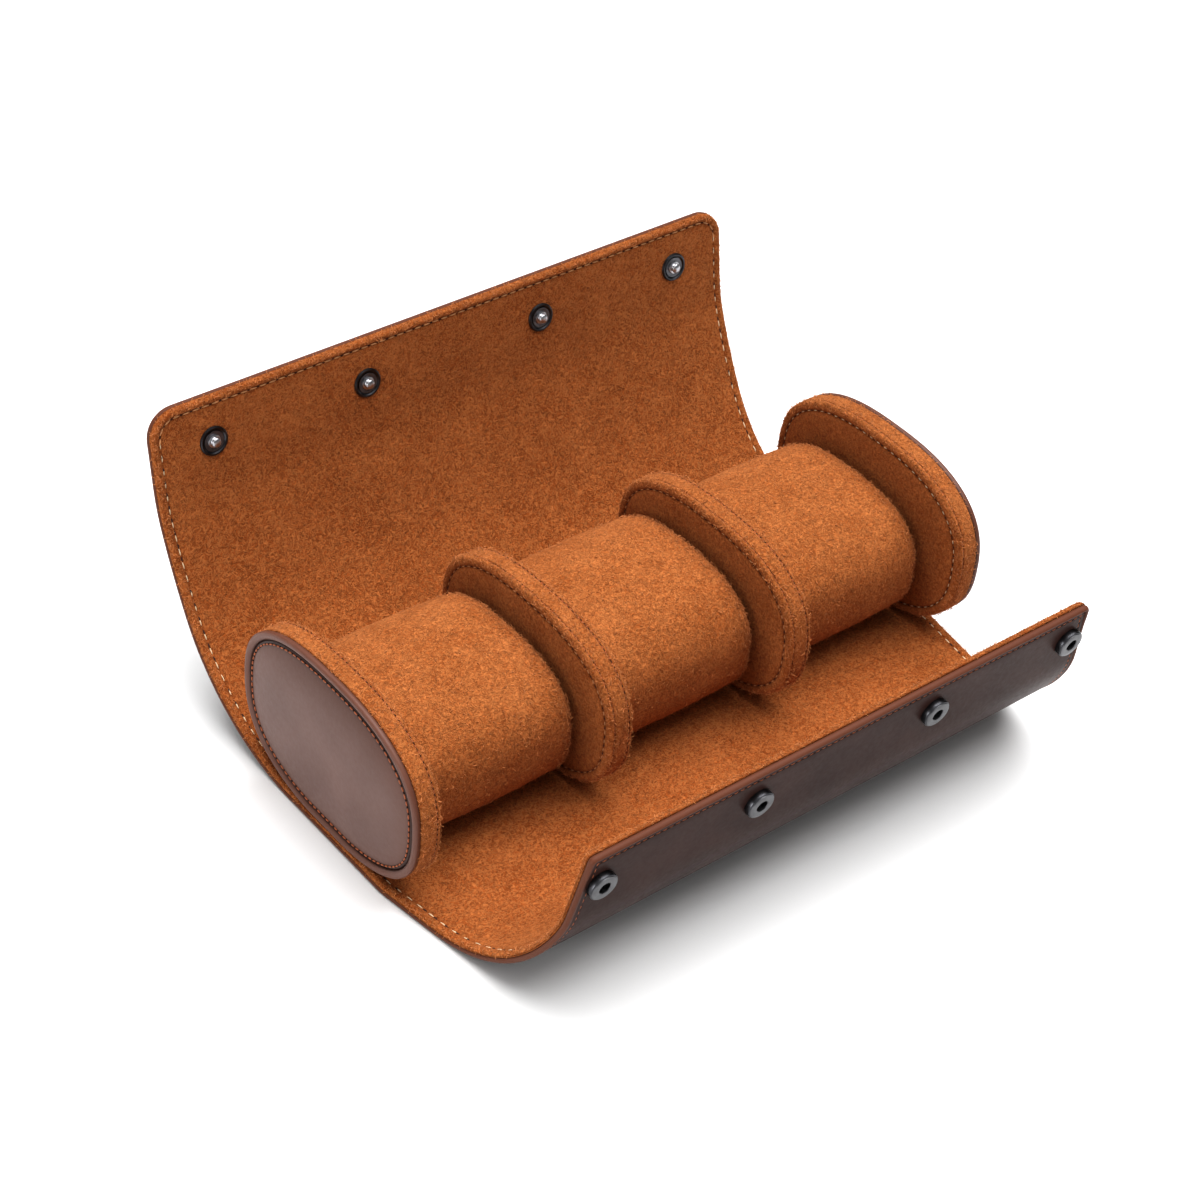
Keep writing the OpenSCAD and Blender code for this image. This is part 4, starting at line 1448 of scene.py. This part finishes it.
@dataclass
class Cushion:
    """A lift-out cushion: suede over foam, puffed by simulated pressure."""

    nap: Nap
    name: str
    middle_x: float
    oval: Oval
    length: float = 56.8
    corner: float = 4.5
    crown: float = 0.9
    shrink: float = 0.5
    swell_cap: float = 0.9
    pressure: float = 4.0
    cloth_mass: float = 0.3
    stretch_stiffness: float = 15.0
    bend_stiffness: float = 0.5
    quality: int = 5
    frames: int = 20
    corner_rows: int = 6
    half_rows: int = 10
    end_scales: tuple[float, ...] = (0.12, 0.26, 0.4, 0.54, 0.68, 0.82, 0.93, 1.0)
    end_inset: float = 4.0      # how far past the rounded corner the flat end's rows start
    flat_edge: float = 0.4      # nothing grows this near to the flat ends
    past_corner: float = 1.0    # the nap of the ends goes this far past the rounded corner
    side_nap: float = 0.12
    firmness: float = 0.85

    def section(self) -> list[tuple[float, float, float]]:
        """Half of the sleeve's section, from the middle of its right end to the middle of its length.

        Returns:
            Rows of place from the middle, inset and scale.
        """
        half, corner = self.length / 2 - self.shrink, self.corner
        straight = half - corner
        rows = [(half, corner + self.end_inset, scale) for scale in self.end_scales]
        rows += [(half, corner + self.end_inset / 2, 1.0)]
        for turn in np.arange(self.corner_rows) / (self.corner_rows - 1) * math.pi / 2:
            rows.append((straight + corner * math.cos(turn), corner * (1 - math.sin(turn)), 1.0))
        rows += [(straight * (1 - k / self.half_rows), 0.0, 1.0) for k in range(1, self.half_rows + 1)]
        return [(x, inset + self.crown * (x / half) ** 2 + self.shrink, scale) for x, inset, scale in rows]

    def shell(self) -> Object:
        """Makes the unpuffed sleeve, a little smaller than its space.

        Returns:
            The sleeve, with the nap mark strongest round its ends.
        """
        rows = self.section()
        rows += [(-x, inset, scale) for x, inset, scale in reversed(rows[:-1])]
        middle = self.oval.middle
        loft = Loft()
        loft.skin([self.oval.ring(self.middle_x + x, inset, scale) for x, inset, scale in rows],
                  [(self.middle_x + rows[0][0], *middle), (self.middle_x + rows[-1][0], *middle)])
        from_end = rows[0][0] - np.abs(np.array(loft.points)[:, 0] - self.middle_x)
        fuzz = np.where(from_end < self.corner + self.past_corner, 1.0, self.side_nap)
        fuzz[from_end <= self.flat_edge] = 0.0
        return piece(self.name, loft.points, loft.faces, Finish.SUEDE, sharp=180.0, marks={"nap": fuzz})

    def puff(self, obj: Object) -> None:
        """Blows the sleeve up with cloth pressure and keeps the result, each point within a cap.

        Args:
            obj: The sleeve.
        """
        before = np.array([v.co for v in obj.data.vertices])
        cloth = obj.modifiers.new("cloth", "CLOTH")
        settings = cloth.settings
        settings.use_pressure = True
        settings.uniform_pressure_force = self.pressure
        settings.effector_weights.gravity = 0.0
        settings.quality = self.quality
        settings.mass = self.cloth_mass
        settings.tension_stiffness = self.stretch_stiffness
        settings.bending_stiffness = self.bend_stiffness
        for number in range(1, self.frames + 1):
            bpy.context.scene.frame_set(number)
        evaluated = obj.evaluated_get(bpy.context.evaluated_depsgraph_get())
        move = np.array([v.co for v in evaluated.data.vertices]) - before
        obj.modifiers.remove(cloth)
        bpy.context.scene.frame_set(1)
        size, cap = np.linalg.norm(move, axis=1), self.swell_cap * MM
        move *= (cap * np.tanh(size / cap) / np.maximum(size, 1e-9))[:, None]
        obj.data.vertices.foreach_set("co", (before + move).ravel().astype(np.float32))
        obj.data.update()

    def subdivide(self, obj: Object) -> None:
        """Adds one level of smooth subdivision to the mesh.

        Args:
            obj: The sleeve.
        """
        modifier = obj.modifiers.new("smooth", "SUBSURF")
        modifier.levels = modifier.render_levels = 1
        evaluated = obj.evaluated_get(bpy.context.evaluated_depsgraph_get())
        mesh = bpy.data.meshes.new_from_object(evaluated)
        obj.modifiers.remove(modifier)
        obj.data = mesh
        mesh.name = self.name
        mesh.shade_smooth()

    def build(self, body: str) -> None:
        """Makes the cushion and its fuzz.

        Args:
            body: The body that they ride on.
        """
        obj = self.shell()
        self.puff(obj)
        self.subdivide(obj)
        settle(obj, "suede", f"{body}_sleeve", body=body)
        settle(self.nap.grow(f"{self.name}_fuzz", obj), "suede", body=body)


@dataclass
class PressStuds:
    """The four press studs: studs and domed caps on the back flap, sockets and flanges on the front."""

    wrap: Wrap
    from_side: float = 20.0
    from_divider: float = 1.2
    stud_from_edge: float = 14.5
    socket_from_edge: float = 12.0
    steps: int = 48
    bulge_points: int = 9
    sharp: float = 32.0

    def __post_init__(self) -> None:
        """Builds the tree that sets a form on each point, its axis along the point's direction."""
        self.recipe = Recipe("fasteners_on_points", {"Form": "Object", "Size": "Float"})
        given, take = self.recipe.given, self.recipe.take
        form = take("GeometryNodeObjectInfo", {"Object": given["Form"]}, "Geometry")
        up = self.recipe.read("up", "FLOAT_VECTOR")
        stand = take("FunctionNodeAlignRotationToVector", {"Vector": up}, axis="Z")
        self.recipe.finish(take("GeometryNodeInstanceOnPoints", {
            "Points": given["Geometry"], "Instance": form, "Rotation": stand, "Scale": given["Size"],
        }))

    def bulge(self, radius: float, height: float, rise: float, low: float, high: float) -> list[tuple]:
        """Radius and height pairs round part of an ellipse, from one angle in radians to another."""
        turns = np.linspace(low, high, self.bulge_points)
        return [(radius * math.cos(turn), height + rise * math.sin(turn)) for turn in turns]

    def turned(self, outline: Sequence[tuple[float, float]]) -> Object:
        """Makes a form turned about Z.

        Args:
            outline: Radius and height pairs, from axis to axis, or all round a ring that is off the axis.

        Returns:
            The form.
        """
        on_axis = outline[0][0] == 0
        turn = np.linspace(0, 2 * math.pi, self.steps, endpoint=False)
        loft = Loft()
        loft.skin([
            np.column_stack([radius * np.cos(turn), radius * np.sin(turn), np.full(self.steps, height)])
            for radius, height in (outline[1:-1] if on_axis else outline)
        ], [(0.0, 0.0, outline[0][1]), (0.0, 0.0, outline[-1][1])] if on_axis else ())
        return piece("form", loft.points, loft.faces, Finish.GUNMETAL, self.sharp)

    def fit(self, name: str, outline: Sequence[tuple[float, float]], flap: Flap, from_edge: float,
            is_outside: bool, finish: Finish, *nodes: str) -> None:
        """Sets one form on its four places on a flap's tip.

        Args:
            name: Name of the piece.
            outline: The form, as radius and height pairs.
            flap: The flap.
            from_edge: Distance from the flap's edge.
            is_outside: Whether the form stands on the leather.
            finish: Its finish.
            nodes: The CAD nodes that it replaces.
        """
        outer = flap.half_width - self.from_side
        inner = BAY_PITCH / 2 - self.from_divider
        x = np.array([-outer, -inner, inner, outer])
        along = np.full(len(x), flap.end() - from_edge)
        places = flap.surface(x, along, WRAP if is_outside else 0.0)
        up = flap.inward(along) * (-1 if is_outside else 1)
        form = self.turned(outline)
        obj = self.recipe.run(name, guide([(places, up)], is_path=False), finish, Form=form, Size=1.0)
        bpy.data.objects.remove(form)
        settle(obj, "metal", *nodes, body=f"{flap.name}_tip")

    def build(self) -> None:
        """Makes every metal piece."""
        dish = (
            (0, -2.6), (1.4, -2.6), (1.4, -0.1), (4.55, -0.1), (4.62, 0.25), (4.5, 0.55), (4.2, 0.72),
            (3.85, 0.68), (3.6, 0.45), (3.35, 0.3), (2.3, 0.26), (2.05, 0.34), (1.85, 0.5), (1.3, 0.52),
            (0, 0.52),
        )
        pan = (
            (0, 0.35), (2.6, 0.35), (3.1, 0.40), (3.2, 0.48), (3.0, 0.52), (2.6, 0.40), (2.3, 0.38), (0, 0.38),
        )
        head = (
            (0, 0.4), (1.95, 0.4), (2.0, 0.62), (1.8, 0.72), (1.25, 0.70), (1.0, 1.00), (1.1, 1.2),
            *self.bulge(1.5, 1.65, 0.75, -0.45, 1.35), (0, 2.4),
        )
        dome = (
            (0, -0.02), (4.9, -0.02), (5.0, 0.15), (4.95, 0.42), *self.bulge(4.95, 0.45, 0.95, 0.1, 1.45),
            (0, 1.4),
        )
        socket = (
            (0, -0.05), (4.45, -0.05), (4.5, 0.2), (4.5, 1.55), (4.38, 1.8), (4.1, 1.95), (2.3, 1.95),
            (2.2, 0.3), (0, 0.3),
        )
        ring = (
            (1.8, 0.3), (1.85, 2.05), (2.0, 2.2), (2.25, 2.24), (3.7, 2.22), (4.05, 2.12), (4.15, 1.9),
            (2.3, 1.85), (2.3, 0.3),
        )
        flange = (
            (0, -2.6), (1.4, -2.6), (1.4, -0.05), (4.0, -0.05), (4.0, 0.15), (3.8, 0.38), (3.3, 0.42),
            (2.6, 0.3), (1.0, 0.3), (0, 0.3),
        )
        on_back = (self.wrap.back, self.stud_from_edge)
        on_front = (self.wrap.front, self.socket_from_edge)
        self.fit("stud_dishes", dish, *on_back, False, Finish.GUNMETAL, "snap_studs")
        self.fit("stud_pans", pan, *on_back, False, Finish.PAN)
        self.fit("stud_heads", head, *on_back, False, Finish.STEEL)
        self.fit("domed_caps", dome, *on_back, True, Finish.GUNMETAL, "snap_stud_caps")
        self.fit("socket_bodies", socket, *on_front, True, Finish.GUNMETAL, "snap_sockets")
        self.fit("socket_rings", ring, *on_front, True, Finish.RING)
        self.fit("socket_flanges", flange, *on_front, False, Finish.GUNMETAL, "snap_socket_flanges")


@dataclass
class Bays:
    """What stands on the wrap: two end caps, two dividers, and the cushions in the three bays."""

    sewing: Sewing
    nap: Nap
    cap_x: float = 101.0
    cap_thickness: float = 8.6
    cap_half: tuple[float, float] = (41.8, 29.0)            # half depth and half height
    divider_thickness: float = 8.2
    divider_half: tuple[float, float] = (40.4, 27.6)
    cushion: Oval = Oval(33.0, 22.3, (3.8, 25.5), flat=0.0, count=120)

    def standing(self, half_depth: float, half_height: float) -> Oval:
        """An oval that stands on the lining."""
        return Oval(half_depth, half_height, (0.0, WRAP + half_height - SEAT))

    def build(self) -> None:
        """Makes the caps, the dividers and the cushions."""
        for side in Side:
            word, sign = side.name.lower(), side.value
            EndCap(self.sewing, self.nap, f"{word}_cap", sign * self.cap_x, self.standing(*self.cap_half),
                   self.cap_thickness).build()
            Divider(self.sewing, self.nap, f"{word}_divider", sign * BAY_PITCH / 2,
                    self.standing(*self.divider_half), self.divider_thickness).build()
        for number, word in enumerate(("left", "middle", "right"), -1):
            name = f"{word}_suede_cushion"
            Cushion(self.nap, name, number * BAY_PITCH, self.cushion).build(f"{word}_cushion")


@dataclass
class Studio:
    """The camera, the pale floor and the soft lights; the places of floor and panel are in metres."""

    azimuth: float = 41.951
    elevation: float = 39.358
    roll: float = 5.381
    distance: float = 816.56
    focal: float = 2772.0           # in pixels of the photograph, as are the two below
    frame_size: float = 1200.0
    middle: tuple[float, float] = (624.835, 618.507)
    sensor: float = 36.0
    aim: tuple[float, float, float] = (0.0, 0.0, 31.5)
    clip_start: float = 0.01
    floor_reach: float = 4.0
    floor_z: float = -0.0002
    sun_from: tuple[float, float, float] = (0.22, 0.02, 0.97)
    sun_angle: float = 60.0
    sun_power: float = 4.7
    horizon: float = 0.04
    zenith: float = 1.55
    dark_below: float = 0.35
    view_gamma: float = 0.85
    panel_place: tuple[float, float, float] = (-1.1, -0.15, 0.10)
    panel_aim: tuple[float, float, float] = (-0.10, 0.0, 0.03)
    panel_size: tuple[float, float] = (0.7, 0.15)
    panel_power: float = 8.0

    def camera(self) -> None:
        """Sets the camera at the photograph's view."""
        az, el, ro = (math.radians(angle) for angle in (self.azimuth, self.elevation, self.roll))
        level = Vector((math.sin(az), math.cos(az), 0.0))
        across = Vector((math.cos(az), -math.sin(az), 0.0))
        ahead = level * math.cos(el) - Vector((0.0, 0.0, math.sin(el)))
        rise = across.cross(ahead)
        right = across * math.cos(ro) + rise * math.sin(ro)
        top = rise * math.cos(ro) - across * math.sin(ro)
        left_by, up_by = ((at - self.frame_size / 2) * self.distance / self.focal for at in self.middle)
        place = Vector(self.aim) - right * left_by + top * up_by - ahead * self.distance
        data = bpy.data.cameras.new("camera")
        data.sensor_width = self.sensor
        data.lens = self.focal / self.frame_size * self.sensor
        data.clip_start = self.clip_start
        obj = placed("camera", data)
        turn = Matrix((right, top, -ahead)).transposed().to_4x4()
        obj.matrix_world = Matrix.Translation(place * MM) @ turn
        bpy.context.scene.camera = obj

    def floor(self) -> None:
        """Lays the pale floor just under the roll."""
        mesh = bpy.data.meshes.new("floor")
        signs = ((-1, -1), (1, -1), (1, 1), (-1, 1))
        corners = [(x * self.floor_reach, y * self.floor_reach, self.floor_z) for x, y in signs]
        mesh.from_pydata(corners, [], [(0, 1, 2, 3)])
        mesh.materials.append(Finish.FLOOR.material())
        placed("floor", mesh)

    def sun(self) -> None:
        """Adds the broad soft light from above, a little from the right and the front."""
        data = bpy.data.lights.new("overhead_light", "SUN")
        data.angle = math.radians(self.sun_angle)
        data.energy = self.sun_power
        turn = (-Vector(self.sun_from)).to_track_quat("-Z", "Y")
        placed("overhead_light", data).rotation_euler = turn.to_euler()

    def side_light(self) -> None:
        """Adds a low panel at the left, which lights the padded cap."""
        data = bpy.data.lights.new("side_light", "AREA")
        data.shape = "RECTANGLE"
        data.size, data.size_y = self.panel_size
        data.energy = self.panel_power
        obj = placed("side_light", data)
        obj.location = self.panel_place
        aim = Vector(self.panel_aim) - Vector(self.panel_place)
        obj.rotation_euler = aim.to_track_quat("-Z", "Z").to_euler()

    def world(self) -> None:
        """Sets a surround that gives light from overhead, and that looks white wherever it is seen."""
        world = bpy.data.worlds.new("surround")
        world.use_nodes = True
        graph = Graph(world.node_tree)
        direction = graph.take("ShaderNodeTexCoord", out="Generated")
        height = graph.take("ShaderNodeSeparateXYZ", {0: direction}, "Z")
        light = graph.ramp(height, (self.dark_below, self.horizon), (1.0, self.zenith))
        seen = graph.take("ShaderNodeLightPath", out="Is Camera Ray")
        shown = graph.mix("MIX", seen, light, Tone.WHITE.value)
        graph.put(world.node_tree.nodes["Background"].inputs["Color"], shown)
        bpy.context.scene.world = world
        view = bpy.context.scene.view_settings
        view.view_transform = "Standard"
        view.gamma = self.view_gamma

    def build(self) -> None:
        """Sets up the studio, the camera first."""
        for part in (self.camera, self.floor, self.world, self.sun, self.side_light):
            part()


def dress_hidden_nodes() -> None:
    """Gives every CAD node a finish; those that a piece replaces aren't shown."""
    kinds = {"board": Finish.BOARD, "core": Finish.BOARD, "foam": Finish.FOAM, "snap": Finish.GUNMETAL,
             "cap_leather": Finish.PAD, "rim": Finish.PAD, "leather": Finish.LEATHER}
    for name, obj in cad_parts.items():
        chosen = next((finish for word, finish in kinds.items() if word in name), Finish.SUEDE)
        obj.data.materials.clear()
        obj.data.materials.append(chosen.material())


def main() -> None:
    """Builds the studio and the roll."""
    logging.basicConfig(level=logging.INFO, format="%(message)s")
    Studio().build()
    dress_hidden_nodes()
    sewing, nap = Sewing(), Nap()
    wrap = Wrap(sewing, nap)
    wrap.build()
    PressStuds(wrap).build()
    Bays(sewing, nap).build()


if __name__ == "__main__":
    main()
